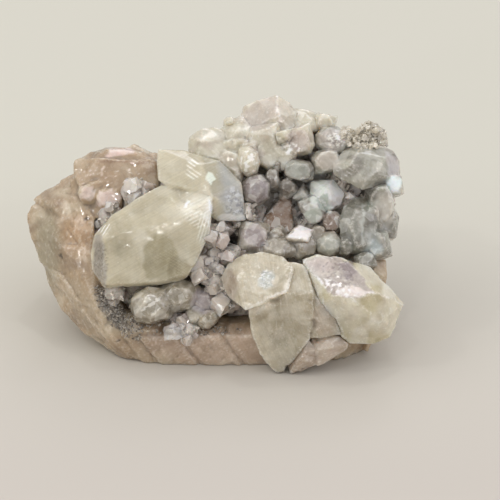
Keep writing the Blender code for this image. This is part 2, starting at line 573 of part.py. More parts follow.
def sheaf_block():
    """The upper block of the stilbite, with its ledge and the shelf with bright steps."""
    front = corners((-28.6, 39.6, -4.8), (-28.5, 42.3, -6.2), (-27.4, 42.9, -6.4),
                    (-23.8, 42.8, -3.6), (-11.8, 42.2, -2.9), (-11.4, 37.0, -1.2),
                    (-18.4, 35.8, -0.4), (-24.0, 35.4, -0.8), (-27.4, 37.0, -2.4),
                    (-27.0, 40.0, -16.0), (-12.0, 41.0, -16.0), (-18.0, 32.0, -14.0))
    top = corners((-27.9, 42.2, -8.0), (-26.2, 43.9, -8.8), (-22.2, 45.3, -7.8),
                  (-16.6, 45.1, -7.0), (-14.2, 44.0, -6.8), (-21.8, 44.5, -5.1),
                  (-16.4, 44.4, -4.7), (-13.2, 41.6, -4.4), (-22.6, 42.0, -4.6),
                  (-25.8, 41.8, -5.6), (-26.0, 42.0, -17.0), (-13.4, 42.2, -17.0))
    end = corners((-14.8, 43.5, -6.4), (-11.5, 44.3, -7.6), (-11.4, 42.0, -3.9),
                  (-14.2, 41.8, -4.2), (-11.6, 42.0, -14.0), (-15.0, 42.0, -14.0))
    shelf = corners((-29.6, 38.8, -6.0), (-28.0, 34.6, -3.4), (-23.6, 31.8, -1.6),
                    (-20.0, 32.2, -1.8), (-18.8, 34.0, -1.9), (-18.8, 37.0, -1.4),
                    (-24.0, 38.2, -1.9), (-27.0, 36.0, -12.0), (-19.4, 34.0, -10.0))
    steps = [block((-25.6, 35.9, -3.8), (2.0, 1.8, 2.5), roll=24, table=0.8, lean=6),
             block((-23.4, 36.9, -3.6), (2.5, 1.5, 2.3), roll=8, table=0.85, lean=4),
             block((-21.4, 34.7, -3.0), (2.7, 2.0, 2.7), roll=-4, table=0.85, lean=4)]
    return [front, top, end, shelf, *steps]


def ledge_slabs():
    """The leaning slabs of the bottom ledge, each a little proud of the next or behind."""
    slabs = []
    for proud, top, left in LEDGE_SLABS:
        front = LEDGE_FRONT - proud
        slabs.append(uprights(
            (left, front + 1.2, -2.0), (left + 6.8, front + 0.9, -2.0),
            (left - LEDGE_LEAN, front, top - 1.1), (left + 1.6, front - 0.3, top - 0.8),
            (left - LEDGE_LEAN + 0.6, front + 2.6, top + 0.3),
            (left + 2.2, front + 2.6, top + 0.5), (left - 3.6, 14.0, top - 1.0),
            (left + 5.0, 14.0, top - 1.0), (left, 16.0, -2.0), (left + 7.0, 16.0, -2.0)))
    return slabs


def sheaf_sole():
    """The foot of the stilbite that the specimen rests on, and its wing at the right."""
    sole = uprights((-18.6, 8.0, -2.0), (-13.6, 4.4, -2.0), (25.0, 4.2, -2.0),
                    (30.5, 8.8, -2.0), (30.6, 28.0, -2.0), (-16.0, 34.0, -2.0),
                    (-17.0, 7.0, 4.0), (24.5, 4.0, 2.8), (30.0, 7.6, 3.6),
                    (29.0, 26.0, 4.0), (-18.0, 30.0, 8.0), (-22.0, 22.0, 6.0))
    wing = corners((30.8, 23.0, 0.6), (34.7, 22.8, -1.2), (34.4, 19.6, 0.2),
                   (32.6, 19.0, 1.0), (30.5, 3.4, -5.2), (33.4, 8.0, -6.6),
                   (33.4, 20.0, -10.0), (28.0, 8.0, -12.0), (28.0, 20.0, -10.0))
    return [sole, wing]


def sheaf_back():
    """The blades that close the stilbite at the back, broken where it left the rock."""
    return [uprights((-34.0, 26.0, 20.0), (-30.0, 37.0, 24.0), (-16.0, 41.5, 27.0),
                     (-12.0, 41.0, 12.0), (-24.0, 38.0, 5.0), (-30.0, 28.0, 8.0),
                     (-12.0, 26.0, 30.0), (-26.0, 24.0, 30.0), (-12.0, 24.0, 6.0)),
            uprights((-24.0, 32.0, 28.4), (-17.0, 38.6, 31.0), (-8.0, 41.6, 25.0),
                     (-7.0, 41.0, 12.0), (-20.0, 40.6, 16.0), (-8.0, 30.0, 29.0),
                     (-14.0, 28.0, 10.0)),
            uprights((-22.0, 35.0, -2.0), (-8.0, 42.4, -2.0), (3.0, 41.0, -2.0),
                     (-19.0, 38.4, 10.0), (-8.0, 44.0, 15.0), (1.0, 42.4, 10.0),
                     (-18.0, 28.0, 12.0), (1.0, 28.0, 10.0), (-20.0, 26.0, -2.0),
                     (3.0, 28.0, -2.0)),
            uprights((-31.0, 22.0, 10.0), (-33.0, 30.0, 16.0), (-24.0, 36.5, 10.0),
                     (-22.0, 32.0, 1.0), (-26.0, 20.0, 3.0), (-18.0, 24.0, 14.0),
                     (-31.6, 18.0, 9.0), (-30.0, 16.0, 13.0))]


def stilbite_sheaf():
    """The tan stilbite: the long blades, the upper block, the ledge, foot and back."""
    return [*sheaf_blades(), *sheaf_block(), *sheaf_sole(), *ledge_slabs(), *sheaf_back()]


def rough_lump(centre, half, shift):
    """A rough rounded lump of matrix, with its middle given over the cut face in mm."""
    bm = bmesh.new()
    bmesh.ops.create_icosphere(bm, subdivisions=LUMP_DIVISIONS, radius=1.0)
    for vert in bm.verts:
        direction = vert.co.normalized()
        place = Vector(centre) + Vector([direction[i] * half[i] for i in range(3)])
        swell = noise.noise(place / LUMP_GRAIN + Vector((shift, 0.0, 0.0)))
        vert.co = standing(*(place + direction * LUMP_ROUGHNESS * swell))
    return as_object(bm, "matrix_lump")


def matrix_lumps():
    """The overlapping lumps of the matrix: middle and half sizes in mm."""
    lumps = [((-8.0, 15.8, 9.4), (13.0, 11.5, 10.5)), ((4.0, 20.7, 15.8), (13.0, 12.0, 12.0)),
             ((20.0, 25.1, 15.5), (13.5, 12.0, 11.0)), ((12.0, 34.0, 28.9), (13.5, 8.8, 9.6)),
             ((28.0, 27.4, 22.4), (8.0, 10.0, 14.0)), ((-12.0, 26.4, 21.7), (12.0, 11.0, 11.5)),
             ((-20.0, 20.0, 17.6), (6.5, 7.4, 9.5)), ((8.0, 23.0, 4.0), (24.0, 17.0, 12.0)),
             ((12.0, 34.0, 13.0), (21.0, 12.0, 17.0))]
    return [rough_lump(centre, half, LUMP_SHIFT * index)
            for index, (centre, half) in enumerate(lumps)]


def break_off(matrix):
    """Break the matrix off along rough flat faces at the back and the right."""
    for place, facing in BROKEN_FACES:
        outward = Vector(facing).normalized()
        side = outward.orthogonal().normalized()
        other = outward.cross(side)
        middle = standing(*place)
        points = [middle + (side * a + other * b) * ROOM * MM + outward * c * ROOM * MM
                  for a in (-1, 1) for b in (-1, 1) for c in (0, 1)]
        combine(matrix, hull(points, "break"), "DIFFERENCE")


def pits():
    """Dark hollows in the druse, as rough blocks that are cut out of the matrix."""
    return [block((2.8, 25.6, 2.0), (2.3, 2.2, 5.0), roll=20, table=0.8),
            block((2.2, 10.2, 2.6), (2.8, 2.6, 5.0), roll=-8, table=0.8),
            block((-19.6, 15.6, 2.0), (1.6, 2.2, 3.4), roll=30, table=0.8),
            block((28.6, 36.6, -3.0), (2.6, 1.3, 3.0), roll=-16, table=0.8)]


def small_crystals(matrix, draw):
    """Small crystals that stand on the matrix where it shows, front, top and back."""
    bm = bmesh.new()
    bm.from_mesh(matrix.data)
    tree = BVHTree.FromBMesh(bm)
    bm.free()
    grown = []
    for across, up, count, around in DRUSE_FIELDS:
        turned = Euler((0.0, 0.0, math.radians(around))).to_matrix()
        inward = turned @ (shown(0, 0, 0) - shown(0, 0, 1)).normalized()
        for _ in range(count):
            start = turned @ shown(draw.uniform(*across), draw.uniform(*up), FIELD_DISTANCE)
            place, normal, _, _ = tree.ray_cast(start, inward)
            if place is None or place.z < LOWEST_GRAIN * MM:
                continue
            grown.append(small_crystal(place, normal, draw))
    return grown


def small_crystal(place, normal, draw):
    """Corners of one small blunt crystal that stands on the matrix."""
    size = draw.uniform(*GRAIN_SIZES) * MM
    lean = Vector([draw.uniform(-GRAIN_LEAN, GRAIN_LEAN) for _ in range(3)])
    axis = (normal + lean).normalized()
    side = axis.orthogonal().normalized()
    other = axis.cross(side)
    start = draw.uniform(0.0, math.pi)
    points = []
    for corner in range(GRAIN_CORNERS):
        angle = start + corner * 2.0 * math.pi / GRAIN_CORNERS
        around = side * math.cos(angle) + other * math.sin(angle)
        points.append(place + (around * GRAIN_FOOT - axis) * size)
        points.append(place + (around * GRAIN_TABLE + axis) * size)
    return points


def make_piece(name, crystals, colour, roughness, before):
    """Join a piece's crystals, cut the pieces before it out of it, and dress it."""
    piece = hull(crystals[0], name)
    for points in crystals[1:]:
        combine(piece, hull(points), "UNION")
    cut_sockets(piece, [point for points in crystals for point in points], before)
    cut_flat(piece)
    keep_main_body(piece)
    dress(piece, name, colour, roughness)
    return piece


def cut_sockets(piece, around, before):
    """Cut a socket for each earlier crystal that comes near the piece."""
    for points in before:
        if near(points, around):
            combine(piece, hull(socket_points(points), "socket"), "DIFFERENCE")


def dress(piece, name, colour, roughness):
    """Give a piece its material and flat crystal faces."""
    piece.data.materials.clear()
    piece.data.materials.append(finish(name, colour, roughness))
    piece.data.set_sharp_from_angle(angle=SHARP_ANGLE)


def make_matrix(before, draw):
    """The matrix: lumps joined, hollowed, grown over with small crystals and cut."""
    lumps = matrix_lumps()
    matrix = lumps[0]
    matrix.name = "druse_matrix"
    for lump in lumps[1:]:
        combine(matrix, lump, "UNION")
    break_off(matrix)
    for points in pits():
        combine(matrix, hull(points, "pit"), "DIFFERENCE")
    for points in [*druse_crystals(), *small_crystals(matrix, draw)]:
        combine(matrix, hull(points), "UNION")
    around = [vert.co.copy() for vert in matrix.data.vertices]
    cut_sockets(matrix, around, before)
    cut_flat(matrix)
    keep_main_body(matrix)
    dress(matrix, "druse_matrix", (0.24, 0.21, 0.19), 0.6)
    return matrix


def main():
    """Clear the scene and build the pieces, each cut by those before it."""
    for thing in list(bpy.data.objects):
        bpy.data.objects.remove(thing)
    pieces = [("great_blade", great_blade(), (0.60, 0.56, 0.43), 0.25),
              ("front_left_crystal", front_left_crystal(), (0.52, 0.47, 0.37), 0.25),
              ("front_right_crystal", front_right_crystal(), (0.58, 0.56, 0.38), 0.22),
              ("foot_crystals", foot_crystals(), (0.52, 0.42, 0.35), 0.3),
              ("oval_crystals", oval_crystals(), (0.50, 0.45, 0.39), 0.25),
              ("shoulder_crystals", shoulder_crystals(), (0.48, 0.45, 0.37), 0.3),
              ("summit_crystals", summit_crystals(), (0.66, 0.62, 0.51), 0.3),
              ("middle_crystals", middle_crystals(), (0.44, 0.40, 0.34), 0.25),
              ("right_edge_crystals", right_edge_crystals(), (0.44, 0.42, 0.36), 0.3),
              ("pocket_crystals", pocket_crystals(), (0.34, 0.29, 0.25), 0.25),
              ("back_crystals", back_crystals(), (0.62, 0.58, 0.47), 0.3),
              ("stilbite_sheaf", stilbite_sheaf(), (0.46, 0.33, 0.22), 0.4)]
    before = []
    for name, crystals, colour, roughness in pieces:
        make_piece(name, crystals, colour, roughness, before)
        before.extend(crystals)
    make_matrix(before, random.Random(GRAIN_SEED))


main()
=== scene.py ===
"""The looks of a stilbite specimen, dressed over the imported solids.

Each solid is copied, given an even fine surface, and shaped with growth steps, striations and
hollows. Small crystals then grow wherever the grey matrix shows. Places are given on the
display face in millimetres: across to the right, up along the face, and out towards the
viewer, who looks down on the specimen by TILT.
"""

import logging
import math
from dataclasses import dataclass
from enum import Enum

import bmesh
import bpy
import numpy as np
from bmesh.types import BMesh
from bpy.types import Material, Mesh, Node, NodeSocket, NodeTree, Object
from mathutils import Matrix, Vector
from mathutils.bvhtree import BVHTree


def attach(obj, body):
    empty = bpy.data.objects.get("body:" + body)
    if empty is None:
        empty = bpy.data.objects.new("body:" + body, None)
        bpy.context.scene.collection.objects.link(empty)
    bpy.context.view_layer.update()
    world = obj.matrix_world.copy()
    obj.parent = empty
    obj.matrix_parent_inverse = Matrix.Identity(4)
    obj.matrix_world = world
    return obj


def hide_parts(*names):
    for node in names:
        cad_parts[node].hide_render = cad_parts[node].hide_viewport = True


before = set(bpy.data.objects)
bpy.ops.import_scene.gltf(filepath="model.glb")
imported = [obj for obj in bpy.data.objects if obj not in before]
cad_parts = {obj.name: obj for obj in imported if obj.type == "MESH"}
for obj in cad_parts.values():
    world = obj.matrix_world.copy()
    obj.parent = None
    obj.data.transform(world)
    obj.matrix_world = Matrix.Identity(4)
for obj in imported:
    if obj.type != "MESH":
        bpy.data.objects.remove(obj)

Array = np.ndarray
Pair = tuple[float, float]
Triple = tuple[float, float, float]
Quad = tuple[float, float, float, float]

MM = 0.001
TURN = 2.0 * math.pi
TILT = math.radians(30.0)
REST = np.array((0.0, -21.0, 0.0))
FACE = np.array(((1.0, 0.0, 0.0),
                 (0.0, math.sin(TILT), math.cos(TILT)),
                 (0.0, -math.cos(TILT), math.sin(TILT))))
WELD = 1e-6

# The shortest and the longest of a field's waves, counted in its size.
WAVE_LENGTHS = (1.2, 2.6)
# Spreads the sines of whole numbers, so that one groove's depth says nothing of the next one's.
SCATTER = 12.9898
# How many vertices away still count for a crease, and for an edge.
CREASE_REACH = 6
EDGE_REACH = 2
# The height of a full edge, in voxels.
EDGE_HEIGHT = 0.16
# Chips sit on the vertices above this share. They lean by CHIP_LEAN, leave what faces another
# way, and fade out between the two distances, which are counted in chip depths.
CHIPPED = 0.9
CHIP_LEAN = 0.15
CHIP_FACING = 0.3
CHIP_FADE = (5.0, 9.0)
# How much broad waves bend a mottle and a tint, with the size of the tint's waves in mm.
MOTTLE_BEND = 0.3
TINT_BEND = 0.16
TINT_WAVE = 1.3
# The seeds of a mottle's bends and clouds, and of a tint's bends.
BEND_SEED, CLOUD_SEED, TINT_SEED = 40, 50, 60
# Small crystals are looked for from this far away in metres, through a plane at this depth of
# the display face in mm, and none stands lower than this in mm.
SOWN_FROM = 0.2
SOWN_DEPTH = -10.0
LOWEST_SOWN = 1.2
# How much stronger the striations of a finish are in relief than in tone.
STREAK_RELIEF = 12.0

log = logging.getLogger("stilbite")


def linear(hex_colour: str) -> Quad:
    """Turn an sRGB hex colour into linear light.

    Args:
        hex_colour: six hex digits, such as "c8b49a".

    Returns:
        Red, green, blue and an alpha of 1.
    """
    parts = [int(hex_colour[i:i + 2], 16) / 255.0 for i in (0, 2, 4)]
    light = [part / 12.92 if part <= 0.04045 else ((part + 0.055) / 1.055) ** 2.4 for part in parts]
    return (light[0], light[1], light[2], 1.0)


def on_face(world: Array) -> Array:
    """Turn world points in metres into display face places in mm."""
    return (world / MM - REST) @ FACE.T


def from_face(places: Array) -> Array:
    """Turn display face places in mm into world points in metres."""
    return (places @ FACE + REST) * MM


def waves(places: Array, size: float, seed: int, count: int = 9) -> Array:
    """Smooth irregular values of about -1 to 1.

    Args:
        places: points in mm, one a row.
        size: how big the hills and hollows are, in mm.
        seed: picks the pattern.
        count: how many waves are added up.

    Returns:
        One value for each point.
    """
    draw = np.random.default_rng(seed)
    ways = draw.normal(size=(count, 3))
    ways /= np.linalg.norm(ways, axis=1)[:, None]
    lengths = size * draw.uniform(*WAVE_LENGTHS, count)
    phases = draw.uniform(0.0, TURN, count)
    return np.sin(places @ (TURN * ways / lengths[:, None]).T + phases).sum(axis=1) / math.sqrt(count)


def warped(places: Array, size: float, share: float, seed: int) -> Array:
    """Places pushed about by broad waves, so that what is drawn on them is less even."""
    push = [waves(places, size, seed + index) for index in range(3)]
    return places + size * share * np.stack(push, axis=1)


@dataclass(frozen=True)
class Zone:
    """An oval on the display face with soft edges: middle, half sizes in mm and roll."""

    across: float
    up: float
    wide: float
    high: float
    roll: float = 0.0
    soft: float = 0.35

    def share(self, places: Array) -> Array:
        """How far each place lies inside, from 0 at the edge to 1."""
        turn = math.radians(self.roll)
        right = places[:, 0] - self.across
        over = places[:, 1] - self.up
        along = (right * math.cos(turn) + over * math.sin(turn)) / self.wide
        aside = (over * math.cos(turn) - right * math.sin(turn)) / self.high
        inside = np.clip((1.0 - np.hypot(along, aside)) / self.soft, 0.0, 1.0)
        return inside * inside * (3.0 - 2.0 * inside)


@dataclass(frozen=True)
class Facet:
    """A many-sided patch of the display face: its softness and its corners, clockwise, in mm."""

    soft: float
    corners: tuple[Pair, ...]

    def share(self, places: Array) -> Array:
        """How far each place lies inside, from 0 just outside the edge to 1."""
        inside = np.full(len(places), np.inf)
        for start, end in zip(self.corners, self.corners[1:] + self.corners[:1]):
            right, over = end[0] - start[0], end[1] - start[1]
            off = (places[:, 0] - start[0]) * over - (places[:, 1] - start[1]) * right
            inside = np.minimum(inside, off / math.hypot(right, over))
        return np.clip(inside / self.soft + 0.5, 0.0, 1.0)


def facet(soft: float, *corners: Pair) -> Facet:
    """A many-sided patch with the corners as arguments."""
    return Facet(soft, corners)


@dataclass(frozen=True)
class Stripes:
    """Thin broken lines across a direction of the display face, inside another patch.

    bend is how far they stray from straight, in spacings.
    """

    patch: Zone | Facet
    way: Pair
    spacing: float
    width: float
    seed: int
    blur: float = 0.12
    bend: float = 0.06
    bend_size: float = 6.0
    gap_size: float = 1.6

    def share(self, places: Array) -> Array:
        """How far each place lies on a line, from 0 beside it to 1."""
        way = np.array(self.way) / np.linalg.norm(self.way)
        counted = places[:, :2] @ way / self.spacing
        counted += self.bend * waves(places, self.bend_size, self.seed)
        off = np.abs(counted - np.round(counted)) * self.spacing
        line = np.clip((self.width - off) / self.blur + 0.5, 0.0, 1.0)
        shown = np.clip(0.6 + 1.2 * waves(places, self.gap_size, self.seed + 1), 0.0, 1.0)
        return self.patch.share(places) * line * shown


@dataclass(frozen=True)
class Flecks:
    """Small irregular bright spots inside another patch, each about size mm across."""

    patch: Zone | Facet
    size: float
    cover: float
    seed: int
    count: int = 14
    blur: float = 0.3

    def share(self, places: Array) -> Array:
        """How far each place lies on a fleck, from 0 beside it to 1."""
        field = waves(places, self.size, self.seed, self.count)
        field += 0.6 * waves(places, 0.5 * self.size, self.seed + 1, self.count)
        level = np.quantile(field, 1.0 - self.cover)
        return self.patch.share(places) * np.clip((field - level) / self.blur + 0.5, 0.0, 1.0)


Patch = Zone | Facet | Stripes | Flecks
EVERYWHERE = Zone(0.0, 25.0, 1000.0, 1000.0)
# Hollows of the matrix: painted near black on it as painted shade, and kept bare of small crystals.
HOLLOWS = (Zone(2.8, 25.6, 1.8, 1.7), Zone(3.0, 10.4, 2.6, 2.3), Zone(17.0, 32.0, 1.2, 2.0))
BARE = (*HOLLOWS, Zone(12.6, 31.2, 3.8, 4.2), Zone(23.4, 30.0, 2.4, 2.4))


@dataclass(frozen=True)
class Tint:
    """A colour laid over a patch of the display face, where the surface faces the viewer: an own colour,
    or painted highlight or shade.
    """

    zone: Patch
    colour: str
    strength: float


@dataclass(frozen=True)
class Swell:
    """Broad unevenness of a grown face, with its size and depth in mm."""

    size: float
    depth: float
    seed: int

    def height(self, places: Array) -> Array:
        """How far the surface moves out at each place, in mm."""
        return self.depth * waves(places, self.size, self.seed)


@dataclass(frozen=True)
class Hillocks:
    """Growth hillocks: low many-sided hills side by side, each built up in flat steps.

    Their sides' steps are wider or narrower by the two factors of uneven, and bend is how far
    the steps stray from straight, in step widths.
    """

    hills: int
    step: float
    rise: float
    seed: int
    sides: int = 4
    uneven: Pair = (0.8, 1.3)
    bend: float = 0.15
    bend_size: float = 5.0

    def height(self, places: Array) -> Array:
        """How far the surface moves out at each place, in mm."""
        draw = np.random.default_rng(self.seed)
        ways = draw.normal(size=(self.sides, 3))
        ways /= np.linalg.norm(ways, axis=1)[:, None] * draw.uniform(*self.uneven, (self.sides, 1))
        away = np.full(len(places), np.inf)
        for top in places[draw.integers(len(places), size=self.hills)]:
            away = np.minimum(away, np.abs((places - top) @ ways.T).max(axis=1))
        levels = np.floor(away / self.step + self.bend * waves(places, self.bend_size, self.seed))
        return self.rise * (np.median(levels) - levels)


@dataclass(frozen=True)
class Striae:
    """Grooves side by side, each a small step, in straight lines across a direction.

    They come and go in patches of patch mm. shallow is the least depth, as a share, and bend
    how far they stray from straight, in spacings.
    """

    way: Triple
    spacing: float
    depth: float
    seed: int
    patch: float = 6.0
    zone: Patch = EVERYWHERE
    shallow: float = 0.35
    bend: float = 0.5

    def count(self, places: Array) -> Array:
        """How many grooves lie between the origin and each place."""
        way = np.array(self.way) / np.linalg.norm(self.way)
        return places @ way / self.spacing

    def height(self, places: Array) -> Array:
        """How far the surface moves out at each place, in mm."""
        counted = self.count(places) + self.bend * waves(places, 4.0 * self.spacing, self.seed)
        whole = np.floor(counted)
        deep = self.shallow + (1.0 - self.shallow) * np.abs(np.sin(whole * SCATTER + self.seed))
        shown = np.clip(0.75 + 0.8 * waves(places, self.patch, self.seed + 3), 0.0, 1.0)
        return self.depth * deep * (counted - whole - 0.5) * shown * self.zone.share(places)


@dataclass(frozen=True)
class Fan(Striae):
    """Grooves that spread from a point on the display face, spaced in degrees."""

    origin: Pair = (0.0, 0.0)

    def count(self, places: Array) -> Array:
        """How many grooves lie between straight right and each place, round the point."""
        angle = np.arctan2(places[:, 1] - self.origin[1], places[:, 0] - self.origin[0])
        return np.degrees(angle) / self.spacing


@dataclass(frozen=True)
class Rings(Striae):
    """Grooves in circles round a point on the display face, spaced in mm."""

    origin: Pair = (0.0, 0.0)

    def count(self, places: Array) -> Array:
        """How many grooves lie between the point and each place."""
        away = np.hypot(places[:, 0] - self.origin[0], places[:, 1] - self.origin[1])
        return away / self.spacing


@dataclass(frozen=True)
class Dent:
    """A soft hollow of a depth in mm."""

    zone: Patch
    depth: float

    def height(self, places: Array) -> Array:
        """How far the surface moves out at each place, in mm."""
        return -self.depth * self.zone.share(places)


Relief = Swell | Hillocks | Striae | Dent


def grown(seed: int, hills: int, step: float, rise: float, broad: Pair, fine: Pair) -> tuple[Relief, ...]:
    """The relief that most pieces have: growth hillocks, a broad swell and a fine one.

    Args:
        seed: picks the patterns.
        hills: how many hillocks there are.
        step: how wide their steps are, in mm.
        rise: how high their steps are, in mm.
        broad: size and depth of the broad swell, in mm.
        fine: size and depth of the fine one.

    Returns:
        The three reliefs.
    """
    return (Hillocks(hills, step, rise, seed), Swell(*broad, seed + 2), Swell(*fine, seed + 3))


def plug(tree: NodeTree, node: Node, inputs: dict) -> None:
    """Set a node's inputs.

    Args:
        tree: the node tree.
        node: the node.
        inputs: by input name or number, a value or another node's output.
    """
    for key, value in inputs.items():
        if isinstance(value, NodeSocket):
            tree.links.new(value, node.inputs[key])
        else:
            node.inputs[key].default_value = value


def add(tree: NodeTree, kind: str, inputs: dict | None = None, **settings) -> Node:
    """Add a node with its settings and its inputs.

    Args:
        tree: the node tree.
        kind: the node's type name, without its first part.
        inputs: by input name or number, a value or another node's output.
        settings: the node's own properties.

    Returns:
        The new node.
    """
    node = tree.nodes.new("ShaderNode" + kind)
    for name, value in settings.items():
        setattr(node, name, value)
    plug(tree, node, inputs or {})
    return node


def here(tree: NodeTree) -> NodeSocket:
    """The place in the piece's own coordinates."""
    return add(tree, "TexCoord").outputs["Object"]


def stored(tree: NodeTree, name: str, output: str) -> NodeSocket:
    """The piece's own attribute of that name."""
    return add(tree, "Attribute", attribute_name=name).outputs[output]


def noise(tree: NodeTree, place: NodeSocket, size: float, detail: float,
          rough: float = 0.5, bend: float = 0.0) -> NodeSocket:
    """Cloudy noise of a size in mm, with values of about 0.3 to 0.7."""
    inputs = {"Vector": place, "Scale": 1 / (size * MM), "Detail": detail, "Roughness": rough}
    return add(tree, "TexNoise", {**inputs, "Distortion": bend}).outputs[0]


def cells(tree: NodeTree, place: NodeSocket, size: float) -> Node:
    """Irregular cells of a size in mm, each with its own random colour."""
    return add(tree, "TexVoronoi", {"Vector": place, "Scale": 1 / (size * MM)})


def maths(tree: NodeTree, kind: str, operation: str, *values) -> NodeSocket:
    """A calculation with numbers (Math) or with vectors (VectorMath)."""
    return add(tree, kind, dict(enumerate(values)), operation=operation).outputs[0]


def mixed(tree: NodeTree, share, low, high, blend: str = "MIX") -> NodeSocket:
    """Mix two colours, or lay one over the other, by a share from 0 to 1."""
    return add(tree, "Mix", {0: share, 6: low, 7: high}, data_type="RGBA", blend_type=blend).outputs[2]


def ranged(tree: NodeTree, value: NodeSocket, low: float, high: float,
           to_low: float = 0.0, to_high: float = 1.0) -> NodeSocket:
    """Spread the stretch from low to high of a value over a new range."""
    inputs = {"Value": value, "From Min": low, "From Max": high, "To Min": to_low, "To Max": to_high}
    return add(tree, "MapRange", inputs).outputs[0]


def toned(tree: NodeTree, colour: NodeSocket, value: NodeSocket, low: float, high: float,
          depth: float) -> NodeSocket:
    """Make a colour darker and lighter by up to the depth, as a value goes from low to high."""
    return mixed(tree, 1.0, colour, ranged(tree, value, low, high, 1.0 - depth, 1.0 + depth), "MULTIPLY")


def tilted(tree: NodeTree, random: NodeSocket, tilt: float) -> NodeSocket:
    """The surface normal, leaned in each cell by its own random amount up to the tilt."""
    normal = add(tree, "NewGeometry").outputs["Normal"]
    lean = maths(tree, "VectorMath", "SUBTRACT", random, (0.5, 0.5, 0.5))
    lean = add(tree, "VectorMath", {0: lean, "Scale": 2.0 * tilt}, operation="SCALE").outputs[0]
    return maths(tree, "VectorMath", "NORMALIZE", maths(tree, "VectorMath", "ADD", normal, lean))


def new_tree(name: str) -> tuple[Material, NodeTree, Node]:
    """A new material with its node tree and its Principled shader."""
    material = bpy.data.materials.new(name)
    material.use_nodes = True
    tree = material.node_tree
    return material, tree, tree.nodes["Principled BSDF"]


